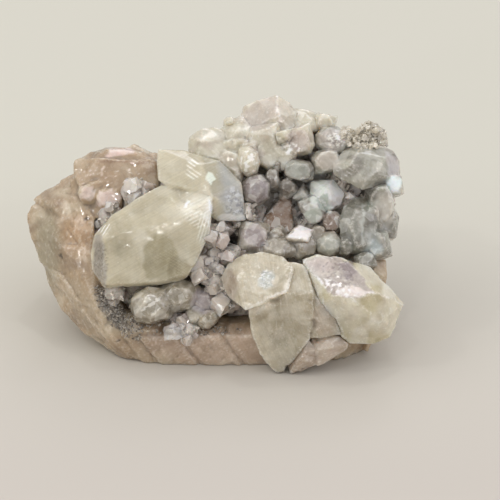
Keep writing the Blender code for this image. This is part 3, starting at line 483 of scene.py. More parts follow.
@dataclass(frozen=True)
class CrystalFinish:
    """A glassy mineral with grown faces: milky veils, inner faces and painted highlights on edges.

    Sizes are in mm. Veils are the cloudy inside of the crystal, which the eye sees through
    its clear skin. Shards are its small inner and outer faces: each has its own tone and
    tilt, so each throws the light elsewhere, and the brightest are painted near white, as
    painted glints. Small white specks are painted on as painted sparkles, edges that stand
    out are painted lighter as painted highlights, and creases darker as painted shade.
    Streaks are its fine parallel striations, counted across streak_way on the display
    face. clear is how much light goes straight through.
    """

    name: str
    veil: str = "f0eee6"
    deep: str = "8d877b"
    veil_size: float = 3.4
    veil_share: float = 0.3
    shard_size: float = 2.4
    shard_tone: float = 0.06
    shard_tilt: float = 0.07
    speckle: float = 0.07
    # How strong the small white specks are, painted on as painted sparkles.
    painted_sparkle: float = 0.2
    # How far the brightest shards are painted near white, as painted glints.
    painted_glint: float = 0.0
    streak: float = 0.0
    streak_size: float = 0.5
    streak_way: Triple = (1.0, 0.0, 0.0)
    rough: Pair = (0.05, 0.18)
    glow: float = 0.9
    reach: float = 5.0
    clear: float = 0.0
    ior: float = 1.54
    grain: float = 0.45
    grain_depth: float = 0.035
    # How much edges that stand out are painted lighter, as painted highlights.
    painted_edge_highlight: float = 0.3
    # How much creases are painted darker, as painted shade.
    painted_crease_shade: float = 0.3
    skin: float = 0.4

    def material(self) -> Material:
        """Make the material.

        Returns:
            The material, which reads Object coordinates and the tint and edge attributes.
        """
        material, tree, shader = new_tree(self.name)
        place = here(tree)
        shards = cells(tree, place, self.shard_size)
        leans = shards.outputs["Color"]
        streaks = self.streaks(tree, place)
        patches = noise(tree, place, size=1.7, detail=3.0)
        grains = noise(tree, place, self.grain, detail=4.0, rough=0.6)
        relief = maths(tree, "Math", "MULTIPLY_ADD", streaks, STREAK_RELIEF * self.streak, grains)
        bump = add(tree, "Bump", {"Height": relief, "Strength": 0.5, "Distance": self.grain_depth * MM,
                                  "Normal": tilted(tree, leans, self.shard_tilt)})
        plug(tree, shader, {
            "Base Color": self.colour(tree, place, shards, streaks),
            "Roughness": ranged(tree, patches, 0.35, 0.65, *self.rough),
            "Normal": bump.outputs[0],
            "IOR": self.ior,
            "Transmission Weight": self.clear,
            "Subsurface Weight": self.glow,
            "Subsurface Radius": (1.0, 0.86, 0.7),
            "Subsurface Scale": self.reach * MM,
            "Coat Weight": self.skin,
            "Coat Roughness": 0.04,
            "Coat IOR": 1.55,
            "Coat Normal": tilted(tree, leans, 2.0 * self.shard_tilt)})
        return material

    def streaks(self, tree: NodeTree, place: NodeSocket) -> NodeSocket:
        """Fine uneven parallel streaks, as values of about 0.3 to 0.7."""
        way = tuple(np.array(self.streak_way) @ FACE / np.linalg.norm(self.streak_way))
        across = add(tree, "VectorMath", {0: place, 1: way}, operation="DOT_PRODUCT").outputs["Value"]
        bend = noise(tree, place, size=4.0, detail=2.0)
        counted = maths(tree, "Math", "MULTIPLY_ADD", across, 1 / (self.streak_size * MM), bend)
        inputs = {"W": counted, "Scale": 1.0, "Detail": 3.0, "Roughness": 0.7}
        return add(tree, "TexNoise", inputs, noise_dimensions="1D").outputs[0]

    def colour(self, tree: NodeTree, place: NodeSocket, shards: Node, streaks: NodeSocket) -> NodeSocket:
        """The crystal's colour: tint, veils, shards, streaks, and painted glints, sparkles, edge
        highlights and crease shade.

        Args:
            tree: the material's node tree.
            place: the places that the patterns are drawn on.
            shards: the cells of the small faces.
            streaks: the fine striations.

        Returns:
            The colour.
        """
        shard = shards.outputs["Color"]
        edge = stored(tree, "edge", "Fac")
        veils = noise(tree, place, self.veil_size, detail=4.0, rough=0.6, bend=0.3)
        milky = ranged(tree, veils, 0.44, 0.74, 0.0, self.veil_share)
        murky = ranged(tree, veils, 0.46, 0.26, 0.0, self.veil_share)
        colour = mixed(tree, milky, stored(tree, "tint", "Color"), linear(self.veil))
        colour = mixed(tree, murky, colour, linear(self.deep), "MULTIPLY")
        colour = toned(tree, colour, shard, 0.0, 1.0, self.shard_tone)
        # Painted glints: the brightest shards are painted near white.
        painted_glint = ranged(tree, shard, 0.74, 0.8, 0.0, self.painted_glint)
        colour = mixed(tree, painted_glint, colour, linear("fbfbf8"))
        colour = toned(tree, colour, streaks, 0.3, 0.7, self.streak)
        fine = noise(tree, place, size=0.55, detail=6.0, rough=0.75)
        colour = toned(tree, colour, fine, 0.3, 0.7, self.speckle)
        # Painted sparkles: small white specks painted on where glints would be.
        sparkle_cells = cells(tree, place, size=0.9)
        chosen = ranged(tree, sparkle_cells.outputs["Color"], 0.68, 0.72)
        near = ranged(tree, sparkle_cells.outputs["Distance"], 0.22, 0.12, 0.0, self.painted_sparkle)
        colour = mixed(tree, maths(tree, "Math", "MULTIPLY", chosen, near), colour, linear("ffffff"))
        # Painted highlights: edges that stand out are painted lighter.
        broken = ranged(tree, fine, 0.46, 0.58, 0.0, self.painted_edge_highlight)
        bright = maths(tree, "Math", "MULTIPLY", ranged(tree, edge, 0.1, 0.8), broken)
        colour = mixed(tree, bright, colour, linear("fffcf6"))
        # Painted shade: creases are painted darker, where shade falls.
        crease_shade = ranged(tree, edge, -0.2, -1.0, 0.0, self.painted_crease_shade)
        return mixed(tree, crease_shade, colour, linear("6a6156"), "MULTIPLY")


@dataclass(frozen=True)
class DruseFinish:
    """Rough matrix: dark grey-brown, tiny crystals that catch light, painted shade in creases, painted
    highlights on edges.
    """

    name: str

    def material(self) -> Material:
        """Make the material.

        Returns:
            The material, which reads Object coordinates and the tint and edge attributes.
        """
        material, tree, shader = new_tree(self.name)
        place = here(tree)
        edge = stored(tree, "edge", "Fac")
        blotches = noise(tree, place, size=1.6, detail=6.0, rough=0.7, bend=0.4)
        crystals = cells(tree, place, size=0.6)
        middle = crystals.outputs["Distance"]
        layers = ((ranged(tree, blotches, 0.52, 0.34, 0.0, 0.7), "857b72", "MULTIPLY"),
                  (ranged(tree, middle, 0.42, 0.1, 0.0, 0.4), "d3ccc4", "MIX"),
                  # Painted shade darkens the creases, and painted highlights lighten the edges.
                  (ranged(tree, edge, -0.1, -0.8, 0.0, 0.5), "3a332d", "MULTIPLY"),
                  (ranged(tree, edge, 0.2, 1.0, 0.0, 0.35), "e2dcd4", "MIX"))
        colour = stored(tree, "tint", "Color")
        for share, other, blend in layers:
            colour = mixed(tree, share, colour, linear(other), blend)
        bump = add(tree, "Bump", {"Height": middle, "Strength": 0.6, "Distance": 0.12 * MM,
                                  "Normal": tilted(tree, crystals.outputs["Color"], 0.3)}, invert=True)
        plug(tree, shader, {"Base Color": colour, "Normal": bump.outputs[0], "IOR": 1.54,
                            "Roughness": ranged(tree, middle, 0.1, 0.5, 0.18, 0.6),
                            "Subsurface Weight": 0.15, "Subsurface Scale": 0.5 * MM})
        return material


@dataclass(frozen=True)
class PaperFinish:
    """The plain matt paper of the floor, painted a little lighter and cooler at the back, as painted
    light.
    """

    name: str = "white_paper_uncoated"
    # Painted light: the near colour is darker than the far one, as the light falls off towards the front.
    near: str = "cbc5bd"
    far: str = "d2d0c5"
    fade: float = 60.0

    def material(self) -> Material:
        """Make the material, which reads Object coordinates."""
        material, tree, shader = new_tree(self.name)
        depth = add(tree, "SeparateXYZ", {0: here(tree)}).outputs["Y"]
        share = ranged(tree, depth, -self.fade * MM, self.fade * MM)
        plug(tree, shader, {"Base Color": mixed(tree, share, linear(self.near), linear(self.far)),
                            "Roughness": 0.9, "Specular IOR Level": 0.2})
        return material


def placed(name: str, data: bpy.types.ID) -> Object:
    """A new object in the scene."""
    thing = bpy.data.objects.new(name, data)
    bpy.context.scene.collection.objects.link(thing)
    return thing


def meshed(name: str, bm: BMesh) -> Object:
    """A new object with a mesh from a bmesh, which is freed."""
    mesh = bpy.data.meshes.new(name)
    bm.to_mesh(mesh)
    bm.free()
    return placed(name, mesh)


def vectors(items, name: str) -> Array:
    """Read a three-number property of every item as rows."""
    flat = np.empty(len(items) * 3, np.float32)
    items.foreach_get(name, flat)
    return flat.reshape(-1, 3).astype(float)


def neighbour_means(mesh: Mesh, values: Array) -> Array:
    """The mean of each vertex's neighbours, for three values a vertex."""
    pairs = np.empty(len(mesh.edges) * 2, np.int32)
    mesh.edges.foreach_get("vertices", pairs)
    first, second = pairs[0::2], pairs[1::2]
    count = len(mesh.vertices)
    linked = np.bincount(first, minlength=count) + np.bincount(second, minlength=count)
    sums = [np.bincount(first, column[second], count) + np.bincount(second, column[first], count)
            for column in values.T]
    return np.stack(sums, axis=1) / np.maximum(linked, 1)[:, None]


def standing_out(mesh: Mesh, world: Array, normals: Array, reach: int) -> Array:
    """How far each vertex stands out from the vertices round it, in metres.

    Args:
        mesh: the surface.
        world: where its vertices are.
        normals: how they face.
        reach: how many vertices away still count.

    Returns:
        One value for each vertex, below zero in a crease.
    """
    smooth = world
    for _ in range(reach):
        smooth = neighbour_means(mesh, smooth)
    return ((world - smooth) * normals).sum(axis=1)


@dataclass
class GrownPiece:
    """One piece of the specimen, as a refined and shaped copy of its solid.

    voxel is how fine the surface is and swell how far it moves out to meet its neighbours,
    both in mm. rounds is how often its edges are softened, and fill how much of each crease
    between crystals is grown over. chips is how many corners and edges end in a small flat
    face, and chip how deep those faces lie, in mm. mottle is two colours that lie over its
    own in clouds of mottle_size mm.
    """

    node: str
    finish: CrystalFinish | DruseFinish
    colour: str
    mottle: tuple[str, str]
    reliefs: tuple[Relief, ...]
    tints: tuple[Tint, ...] = ()
    mottle_size: float = 4.0
    voxel: float = 0.2
    swell: float = 0.24
    rounds: int = 2
    fill: float = 0.3
    chips: int = 0
    chip: Pair = (0.05, 0.22)

    def build(self) -> Object:
        """Make the piece, hang it under the root body and hide its solid.

        Returns:
            The finished object, with its place in its mesh.
        """
        thing = self.refined()
        self.shape(thing.data)
        self.paint(thing.data)
        thing.data.materials.clear()
        thing.data.materials.append(self.finish.material())
        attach(thing, "root")
        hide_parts(self.node)
        log.info("%s: %d faces", thing.name, len(thing.data.polygons))
        return thing

    def refined(self) -> Object:
        """Copy the solid and give the copy a fine even surface with softened edges."""
        bm = bmesh.new()
        bm.from_mesh(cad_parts[self.node].data)
        bmesh.ops.remove_doubles(bm, verts=bm.verts, dist=WELD)
        thing = meshed(self.node + "_surface", bm)
        even = thing.modifiers.new("even", "REMESH")
        even.mode = "VOXEL"
        even.voxel_size = self.voxel * MM
        soften = thing.modifiers.new("soften", "SMOOTH")
        soften.factor = 0.5
        soften.iterations = self.rounds
        done = bpy.data.meshes.new_from_object(thing.evaluated_get(bpy.context.evaluated_depsgraph_get()))
        thing.modifiers.clear()
        thing.data = done
        done.shade_smooth()
        return thing

    def shape(self, mesh: Mesh) -> None:
        """Move the surface out by the swell and the reliefs."""
        world = vectors(mesh.vertices, "co")
        normals = vectors(mesh.vertices, "normal")
        places = on_face(world)
        height = np.full(len(world), self.swell)
        for relief in self.reliefs:
            height += relief.height(places)
        sunk = -standing_out(mesh, world, normals, CREASE_REACH)
        world += normals * (height * MM + np.maximum(sunk, 0.0) * self.fill)[:, None]
        self.chip_off(world, normals, -sunk)
        world[:, 2] = np.maximum(world[:, 2], 0.0)
        mesh.vertices.foreach_set("co", world.astype(np.float32).ravel())
        mesh.update()

    def chip_off(self, world: Array, normals: Array, edges: Array) -> None:
        """Flatten some corners and edges to small faces that lean at random.

        Args:
            world: where the vertices are, which changes.
            normals: how they face.
            edges: how far they stand out.
        """
        draw = np.random.default_rng(len(world))
        sharp = np.flatnonzero(edges > np.quantile(edges, CHIPPED))
        full, end = CHIP_FADE
        for index in draw.choice(sharp, size=self.chips, replace=False):
            facing = normals[index] + draw.normal(size=3) * CHIP_LEAN
            facing /= np.linalg.norm(facing)
            deep = draw.uniform(*self.chip) * MM
            offset = world - world[index]
            over = np.maximum(offset @ facing + deep, 0.0)
            away = np.sqrt((offset ** 2).sum(axis=1)) / deep
            near = np.clip((end - away) / (end - full), 0.0, 1.0) * (normals @ facing > CHIP_FACING)
            world -= facing * (over * near)[:, None]

    def paint(self, mesh: Mesh) -> None:
        """Store each vertex's colour, painted highlights and shade among it, and how far it stands out on
        an edge.
        """
        world = vectors(mesh.vertices, "co")
        normals = vectors(mesh.vertices, "normal")
        places = on_face(world)
        colours = np.tile(np.array(linear(self.colour)), (len(world), 1))
        for index, other in enumerate(self.mottle):
            clouds = warped(places, self.mottle_size, MOTTLE_BEND, BEND_SEED + index)
            share = np.clip(waves(clouds, self.mottle_size, CLOUD_SEED + index), 0.0, 1.0)[:, None]
            colours += (np.array(linear(other)) - colours) * share
        facing = np.clip(0.6 + 2.0 * normals @ FACE[2], 0.0, 1.0)
        marks = warped(places, TINT_WAVE, TINT_BEND, TINT_SEED)
        for tint in self.tints:
            read = places if isinstance(tint.zone, Stripes | Flecks) else marks
            share = (tint.zone.share(read) * facing * tint.strength)[:, None]
            colours += (np.array(linear(tint.colour)) - colours) * share
        # How far each vertex stands out: the materials paint highlights on edges and shade in creases from
        # it.
        edge = standing_out(mesh, world, normals, EDGE_REACH) / (EDGE_HEIGHT * self.voxel * MM)
        store = mesh.attributes.new("tint", "FLOAT_COLOR", "POINT")
        store.data.foreach_set("color", colours.astype(np.float32).ravel())
        store = mesh.attributes.new("edge", "FLOAT", "POINT")
        store.data.foreach_set("value", np.clip(edge, -1.0, 1.0).astype(np.float32))


class Side(Enum):
    """The directions that small crystals are looked for from: azimuth and elevation."""

    FRONT = (0.0, 30.0)
    FRONT_LEFT = (-35.0, 25.0)
    FRONT_RIGHT = (35.0, 20.0)
    RIGHT = (80.0, 20.0)
    TOP = (0.0, 80.0)
    BACK = (180.0, 20.0)
    BACK_LEFT = (-140.0, 25.0)
    BACK_RIGHT = (140.0, 25.0)

    def away(self) -> Vector:
        """The direction from the specimen towards the looker."""
        azimuth, elevation = (math.radians(angle) for angle in self.value)
        return Vector((math.sin(azimuth) * math.cos(elevation),
                       -math.cos(azimuth) * math.cos(elevation), math.sin(elevation)))


@dataclass(frozen=True)
class Sowing:
    """Small crystals of one kind that stand where a side view meets the named piece.

    sizes are the smallest and the largest in mm. window is the middle and the half sizes, in
    mm, of the part of the view that is searched. blocky ones are blocks with cut corners, the
    others blunt points.
    """

    side: Side
    ground: str
    count: int
    sizes: Pair
    colours: tuple[str, ...]
    seed: int
    zone: Patch = EVERYWHERE
    blocky: bool = False
    window: Quad = (7.0, 24.0, 42.0, 34.0)


@dataclass
class Druse:
    """A joined mesh of small blunt crystals, sown over the finished pieces.

    Of each crystal, lean is how far it leans off the ground's own direction, raised how far its
    middle stands above its foot, and aspect its two widths. cut and uneven shape a block, and
    foot, tip and length a point. All are shares of its size. tone is how dark or light it is.
    """

    name: str
    finish: CrystalFinish
    slot: str
    sowings: tuple[Sowing, ...]
    lean: float = 0.5
    raised: float = 0.25
    aspect: Pair = (0.6, 1.3)
    cut: Pair = (0.15, 0.4)
    uneven: float = 0.07
    foot: float = 0.62
    tip: Pair = (0.12, 0.45)
    length: Pair = (1.1, 1.9)
    tone: Pair = (0.75, 1.2)

    def build(self, grounds: dict[str, Object]) -> Object:
        """Grow the crystals and hang them under the root body.

        Args:
            grounds: the finished pieces by the name of their solid.

        Returns:
            The finished object.
        """
        graph = bpy.context.evaluated_depsgraph_get()
        trees = {name: BVHTree.FromObject(thing, graph) for name, thing in grounds.items()}
        bm = bmesh.new()
        layer = bm.verts.layers.float_color.new("tint")
        for sowing in self.sowings:
            self.sow(bm, layer, sowing, trees)
        thing = meshed(self.name, bm)
        thing.data.materials.append(self.finish.material())
        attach(thing, "root")
        log.info("%s: %d faces", thing.name, len(thing.data.polygons))
        return thing

    def sow(self, bm: BMesh, layer, sowing: Sowing, trees: dict[str, BVHTree]) -> None:
        """Add one sowing's crystals.

        Args:
            bm: the mesh that they are added to.
            layer: its colour layer.
            sowing: where they stand and how they look.
            trees: the finished pieces, for finding the first that a ray meets.
        """
        draw = np.random.default_rng(sowing.seed)
        away = sowing.side.away()
        right = Vector((0, 0, 1)).cross(away).normalized()
        above = away.cross(right)
        *centre, wide, high = sowing.window
        middle = Vector(from_face(np.array((*centre, SOWN_DEPTH))))
        for _ in range(sowing.count):
            start = middle + away * SOWN_FROM + right * draw.uniform(-wide, wide) * MM
            start += above * draw.uniform(-high, high) * MM
            met = None
            for name, tree in trees.items():
                place, normal, _, distance = tree.ray_cast(start, -away)
                if place is not None and (met is None or distance < met[0]):
                    met = (distance, name, place, normal)
            if met is None or met[1] != sowing.ground:
                continue
            place, normal = met[2], met[3]
            spot = on_face(np.array([place]))
            taken = sowing.zone.share(spot)[0] - sum(bare.share(spot)[0] for bare in BARE)
            if place.z < LOWEST_SOWN * MM or draw.random() > taken:
                continue
            self.grow(bm, layer, sowing, draw, place, normal)

    def grow(self, bm: BMesh, layer, sowing: Sowing, draw: np.random.Generator,
             place: Vector, normal: Vector) -> None:
        """Add one small crystal that leans at random.

        Args:
            bm: the mesh that it is added to.
            layer: its colour layer.
            sowing: how it looks.
            draw: the seeded random numbers.
            place: its foot.
            normal: the way that the ground faces there.
        """
        low, high = sowing.sizes
        size = (low + (high - low) * draw.random() ** 2) * MM
        axis = (normal + Vector(draw.normal(size=3)) * self.lean).normalized()
        turn = axis.to_track_quat("Z", "Y").to_matrix().to_4x4()
        spin = Matrix.Rotation(draw.uniform(0, TURN), 4, "Z")
        flat = Matrix.Diagonal((draw.uniform(*self.aspect), draw.uniform(*self.aspect), 1.0, 1.0))
        matrix = Matrix.Translation(place + axis * size * self.raised) @ turn @ spin @ flat
        if sowing.blocky:
            made = bmesh.ops.create_cube(bm, size=size, matrix=matrix)
            cut = bmesh.ops.bevel(bm, geom=made["verts"], affect="VERTICES", segments=1, profile=0.5,
                                  offset=size * draw.uniform(*self.cut), material=-1)
            verts = {vert for face in cut["faces"] for vert in face.verts}
            for vert in sorted(verts, key=lambda vert: tuple(vert.co)):
                vert.co += Vector(draw.normal(size=3)) * size * self.uneven
        else:
            made = bmesh.ops.create_cone(bm, cap_ends=True, segments=5, radius1=size * self.foot,
                                         radius2=size * draw.uniform(*self.tip),
                                         depth=size * draw.uniform(*self.length), matrix=matrix)
            verts = set(made["verts"])
        colour = np.array(linear(sowing.colours[int(draw.integers(len(sowing.colours)))]))
        colour[:3] *= draw.uniform(*self.tone)
        for vert in verts:
            vert[layer] = np.minimum(colour, 1.0)


@dataclass(frozen=True)
class Lamp:
    """A square soft lamp: its place and size in metres, its power in watts and its colour."""

    name: str
    place: Triple
    size: float
    power: float
    colour: str = "ffffff"


@dataclass
class Studio:
    """The plain floor, the soft light and the camera.

    target is where the camera aims, on the display face in mm, and aim where the lamps do, in
    metres.
    """

    target: Triple = (7.0, 24.4, 0.0)
    distance: float = 0.9
    lens: float = 322.0
    sensor: float = 36.0
    nearest: float = 0.01
    floor_half: float = 1.5
    floor_gap: float = 0.02
    aim: Triple = (0.0, 0.0, 0.015)
    horizon: str = "a09e9c"
    zenith: str = "fdfbf9"
    brightness: float = 1.03
    lamps: tuple[Lamp, ...] = (
        Lamp("key", (-0.50, -0.05, 0.55), 0.42, 0.58, "fffdfa"),
        Lamp("key_glint", (-0.46, -0.20, 0.55), 0.04, 0.25),
        Lamp("back_fill", (0.10, 0.60, 0.50), 0.30, 0.6, "f8f8ff"),
        Lamp("right_fill", (0.60, -0.20, 0.40), 0.40, 0.40, "e6e2ff"),
        Lamp("glint", (-0.15, -0.45, 0.70), 0.03, 0.28),
        Lamp("side_glint", (0.45, -0.40, 0.45), 0.03, 0.18),
        Lamp("low_glint", (-0.30, -0.60, 0.25), 0.03, 0.14),
        Lamp("top_glint", (0.05, 0.10, 0.80), 0.03, 0.28),
        Lamp("left_glint", (-0.60, -0.30, 0.20), 0.03, 0.16),
        Lamp("right_glint", (0.60, 0.05, 0.35), 0.03, 0.10))

    def build(self) -> None:
        """Make the floor, the lights and the camera."""
        self.floor()
        for lamp in self.lamps:
            self.light(lamp)
        self.surroundings()
        self.camera()

    def floor(self) -> None:
        """A wide sheet of paper under the specimen."""
        bm = bmesh.new()
        bmesh.ops.create_grid(bm, x_segments=1, y_segments=1, size=self.floor_half,
                              matrix=Matrix.Translation((0, 0, -self.floor_gap * MM)))
        floor = meshed("floor", bm)
        floor.data.materials.append(PaperFinish().material())

    def light(self, lamp: Lamp) -> None:
        """A soft lamp that faces the specimen."""
        light = bpy.data.lights.new(lamp.name, "AREA")
        light.size = lamp.size
        light.energy = lamp.power
        light.color = linear(lamp.colour)[:3]
        thing = placed(lamp.name, light)
        thing.location = lamp.place
        thing.rotation_euler = (Vector(self.aim) - thing.location).to_track_quat("-Z", "Y").to_euler()

    def surroundings(self) -> None:
        """An even pale surrounding, brighter overhead."""
        world = bpy.data.worlds.new("studio")
        world.use_nodes = True
        tree = world.node_tree
        way = add(tree, "TexCoord").outputs["Generated"]
        height = add(tree, "SeparateXYZ", {0: way}).outputs["Z"]
        colour = mixed(tree, ranged(tree, height, 0.0, 1.0), linear(self.horizon), linear(self.zenith))
        plug(tree, tree.nodes["Background"], {"Color": colour, "Strength": self.brightness})
        bpy.context.scene.world = world

    def camera(self) -> None:
        """A long lens at the photograph's viewing angle."""
        lens = bpy.data.cameras.new("camera")
        lens.lens = self.lens
        lens.sensor_width = self.sensor
        lens.clip_start = self.nearest
        thing = placed("camera", lens)
        back = Vector(FACE[2])
        thing.location = Vector(from_face(np.array(self.target))) + back * self.distance
        thing.rotation_euler = (-back).to_track_quat("-Z", "Y").to_euler()
        bpy.context.scene.camera = thing
        bpy.context.scene.view_settings.view_transform = "Standard"


MILKY = CrystalFinish("calcite_milky_grown_faces", streak=0.05, streak_size=0.35,
                      streak_way=(0.9, 0.3, 0.2))
GREEN_MILKY = CrystalFinish("apophyllite_milky_grown_faces", veil="f1efe2", deep="a9a690", veil_size=6,
                            shard_size=3.4, shard_tone=0.03, shard_tilt=0.05, speckle=0.06, painted_sparkle=0.15,
                            streak=0.06, streak_size=0.4, streak_way=(-0.5, 0.87, 0), rough=(0.05, 0.2),
                            painted_edge_highlight=0.15, skin=0.2)
YELLOW_MILKY = CrystalFinish("calcite_yellow_green_grown_faces", veil="f3f1e2", deep="b3ad8c",
                             veil_share=0.32, shard_tone=0.05, shard_tilt=0.08, painted_sparkle=0.25, painted_edge_highlight=0.5)
SMALL_MILKY = CrystalFinish("calcite_milky_small_grown_faces", veil_size=2, veil_share=0.16, shard_size=2,
                            shard_tilt=0.08, speckle=0.08, painted_sparkle=0.15, painted_glint=0.12, reach=4, painted_edge_highlight=0.28,
                            skin=0.5)
CLEAR = CrystalFinish("apophyllite_clear_grown_faces", veil="f8f7f2", deep="b0aba2", veil_size=1.6,
                      shard_size=1.4, shard_tone=0.12, shard_tilt=0.16, speckle=0.08, painted_sparkle=0.35,
                      painted_glint=0.5, rough=(0.03, 0.14), glow=0.6, reach=1.4, clear=0.25, painted_crease_shade=0.15,
                      skin=0.8)
OVAL = CrystalFinish("calcite_glassy_rounded_faces", veil="f6f4ee", deep="9a9288", veil_size=2.2,
                     shard_size=2.6, shard_tone=0.08, speckle=0.06, painted_sparkle=0.15, painted_glint=0.18,
                     rough=(0.04, 0.16), glow=0.85, reach=3, painted_edge_highlight=0.25, painted_crease_shade=0.05, skin=0.7)
BLADES = CrystalFinish("stilbite_pearly_cleaved_blades", veil="e6d8c4", deep="9c8468", veil_size=5,
                       veil_share=0.12, shard_size=2, shard_tone=0.05, shard_tilt=0.14, speckle=0.06,
                       painted_sparkle=0.08, streak=0.04, streak_size=0.6, streak_way=(0.85, 0.5, 0.1),
                       rough=(0.1, 0.28), glow=0.75, reach=2.8, ior=1.5, grain=0.35, grain_depth=0.05,
                       painted_edge_highlight=0.18, skin=0.6)
GRAINS = CrystalFinish("quartz_druse_small_grown_crystals", veil="f4f2f0", veil_size=0.9, veil_share=0.35,
                       shard_size=0.5, shard_tone=0.15, shard_tilt=0.15, speckle=0.08, streak=0.04,
                       rough=(0.04, 0.2), glow=0.2, reach=0.4, grain_depth=0, painted_edge_highlight=0.6, skin=0.35)
MATRIX = DruseFinish("basalt_matrix_drusy_broken")

GREAT_BLADE_TINTS = (
    Tint(facet(0.7, (-14, 18.6), (-14.4, 24), (-13.2, 26.6), (-11.4, 27.7), (-9.6, 27.4), (-8.2, 25.8),
         (-7.5, 23.2), (-7.4, 18.4)), "a39a7c", 0.75),
    # Painted shade: the lower right facet is painted darker.
    Tint(facet(0.5, (-9, 23.4), (-7.4, 23.4), (-4, 21.2), (-6, 18.6), (-9.6, 18)), "8e856a", 0.6),
    Tint(Stripes(Zone(-9.6, 22.6, 5.6, 5.2), (0.5, 0.86), 0.5, 0.06, 3), "c9c1a8", 0.6),
    Tint(facet(0.5, (-24.4, 27), (-22.4, 27.4), (-21.4, 19), (-21.8, 16.6), (-24.6, 20)), "968f86", 0.85),
    Tint(Flecks(Zone(-22.8, 21.6, 1.8, 5), 0.4, 0.3, 62), "746c64", 0.6),
    Tint(Stripes(Zone(-22.4, 29.2, 1.8, 2.2), (0.8, -0.5), 0.6, 0.1, 4), "ffffff", 0.8),
    Tint(Zone(-4.4, 33, 4.2, 3.4, soft=0.8), "e9e4d6", 0.7),
    Tint(facet(0.5, (-2.6, 31.6), (-0.6, 34.8), (-1, 28.8)), "f4f1e4", 0.7),
    Tint(Stripes(Zone(-3, 31.8, 3.6, 3.4), (0.45, -0.9), 0.7, 0.12, 5), "fbf9f0", 0.8),
    Tint(Stripes(Zone(-1.8, 29.4, 2, 4.2, roll=-20), (0.95, -0.3), 0.6, 0.12, 69), "fbf9f0", 0.7),
    Tint(Flecks(Zone(-5, 32.4, 3.4, 2.6), 0.5, 0.12, 70), "aba48c", 0.5),
    Tint(facet(0.3, (-6.4, 32.6), (-1, 34.9), (-0.6, 34.5), (-5.6, 31.8)), "f2eee0", 0.6),
    Tint(Stripes(Zone(-4.4, 40.6, 3.4, 2.4, roll=-35), (0.57, 0.82), 0.75, 0.12, 6), "fdfcf6", 0.9),
    Tint(facet(0.6, (-11.7, 44.9), (-6.4, 44.8), (0.8, 42.6), (5.2, 38.2), (6.3, 30.2), (0.5, 30.2),
         (-0.7, 35.3), (-11.4, 38.4)), "a6a08c", 0.7),
    Tint(facet(1.6, (0.8, 42.4), (5, 38.4), (6.4, 30.2), (1.6, 30.2), (1.2, 35.4)), "acaeae", 0.8),
    Tint(Flecks(Zone(3.8, 33.6, 2.4, 4.4), 0.9, 0.3, 8), "d0d4d6", 0.8),
    Tint(Flecks(Zone(4, 33, 2.2, 4.4), 0.5, 0.25, 58), "7c7d82", 0.7),
    # Painted glint: a bright mint facet.
    Tint(facet(0.3, (-2.2, 38.4), (-1.2, 40.2), (0, 39), (-0.8, 37.4)), "eef4ea", 0.9),
    Tint(Zone(3.2, 30.8, 3.2, 1), "eceae4", 0.8),
    # The last two are painted glints: small white spots.
    Tint(facet(0.2, (-6.2, 33), (-5.6, 34.6), (-5, 34.4), (-5.6, 32.8)), "ffffff", 1),
    Tint(Zone(-0.8, 33, 0.5, 1.8), "ffffff", 0.9))

FRONT_LEFT_CRYSTAL_TINTS = (
    Tint(facet(0.4, (3, 14), (2.2, 20.6), (6, 23.6), (14.6, 22.8), (14.4, 16.4), (10.6, 15), (5.8, 12.2)),
         "cfc7b3", 0.6),
    # The next four paint one glint: a bluish patch with bright flecks and dark specks, and a yellow-white
    # piece at its right.
    Tint(facet(0.6, (8.4, 17.4), (9.4, 20.4), (11.8, 20), (11.6, 17.4), (10, 16.6)), "c8cfcf", 0.6),
    Tint(Flecks(Zone(10.2, 18.6, 1.9, 2.2), 0.45, 0.35, 11), "fafcfc", 0.75),
    Tint(Flecks(Zone(10.2, 18.8, 1.7, 2), 0.4, 0.2, 67), "8a9498", 0.5),
    Tint(Zone(12, 18.2, 0.8, 1.5), "efe8d8", 0.4),
    # Painted glints: small bright flecks at the top.
    Tint(Flecks(Zone(6.6, 19.6, 3.4, 3.4), 0.4, 0.12, 31), "f4f0e6", 0.5),
    Tint(facet(0.7, (1.2, 18.6), (3, 20.8), (4.6, 18.4), (4, 13), (2, 14)), "ab9c8e", 0.7),
    # The next four are painted highlights along the bright lower and right edges of the head.
    Tint(Flecks(Zone(8.6, 13.8, 5.2, 1.6, roll=20), 0.5, 0.25, 13), "f6f0e6", 0.35),
    Tint(facet(0.3, (5.8, 12.2), (10.4, 15.2), (10.6, 14.7), (6, 11.8)), "ece4d4", 0.6),
    Tint(facet(0.3, (10.4, 15.2), (14.4, 16.5), (14.5, 16), (10.6, 14.7)), "fffaf0", 0.8),
    Tint(facet(0.4, (13.6, 16), (13.8, 18), (14.8, 18.4), (14.6, 16)), "f6f0e4", 0.6),
    Tint(Flecks(Zone(14.6, 20, 1, 3.6), 0.4, 0.3, 61), "f4efe4", 0.5),
    Tint(Flecks(Zone(13, 5, 3.4, 5), 0.4, 0.1, 32), "efe8dc", 0.4),
    Tint(facet(0.4, (10.2, 1.4), (11, 7.6), (13.4, 8.8), (16.4, 6.4), (14.6, 0.6), (12, -0.6)), "cbc5b4",
         0.5),
    Tint(Stripes(Zone(13.4, 12, 2.6, 5), (1, 0.1), 1.3, 0.12, 68), "d6cfbf", 0.5),
    Tint(Zone(9.4, 9.4, 1.8, 4.4, roll=10, soft=0.8), "a89e88", 0.5),
    Tint(Zone(22, 11, 3, 4.8), "c6b6a6", 0.6))

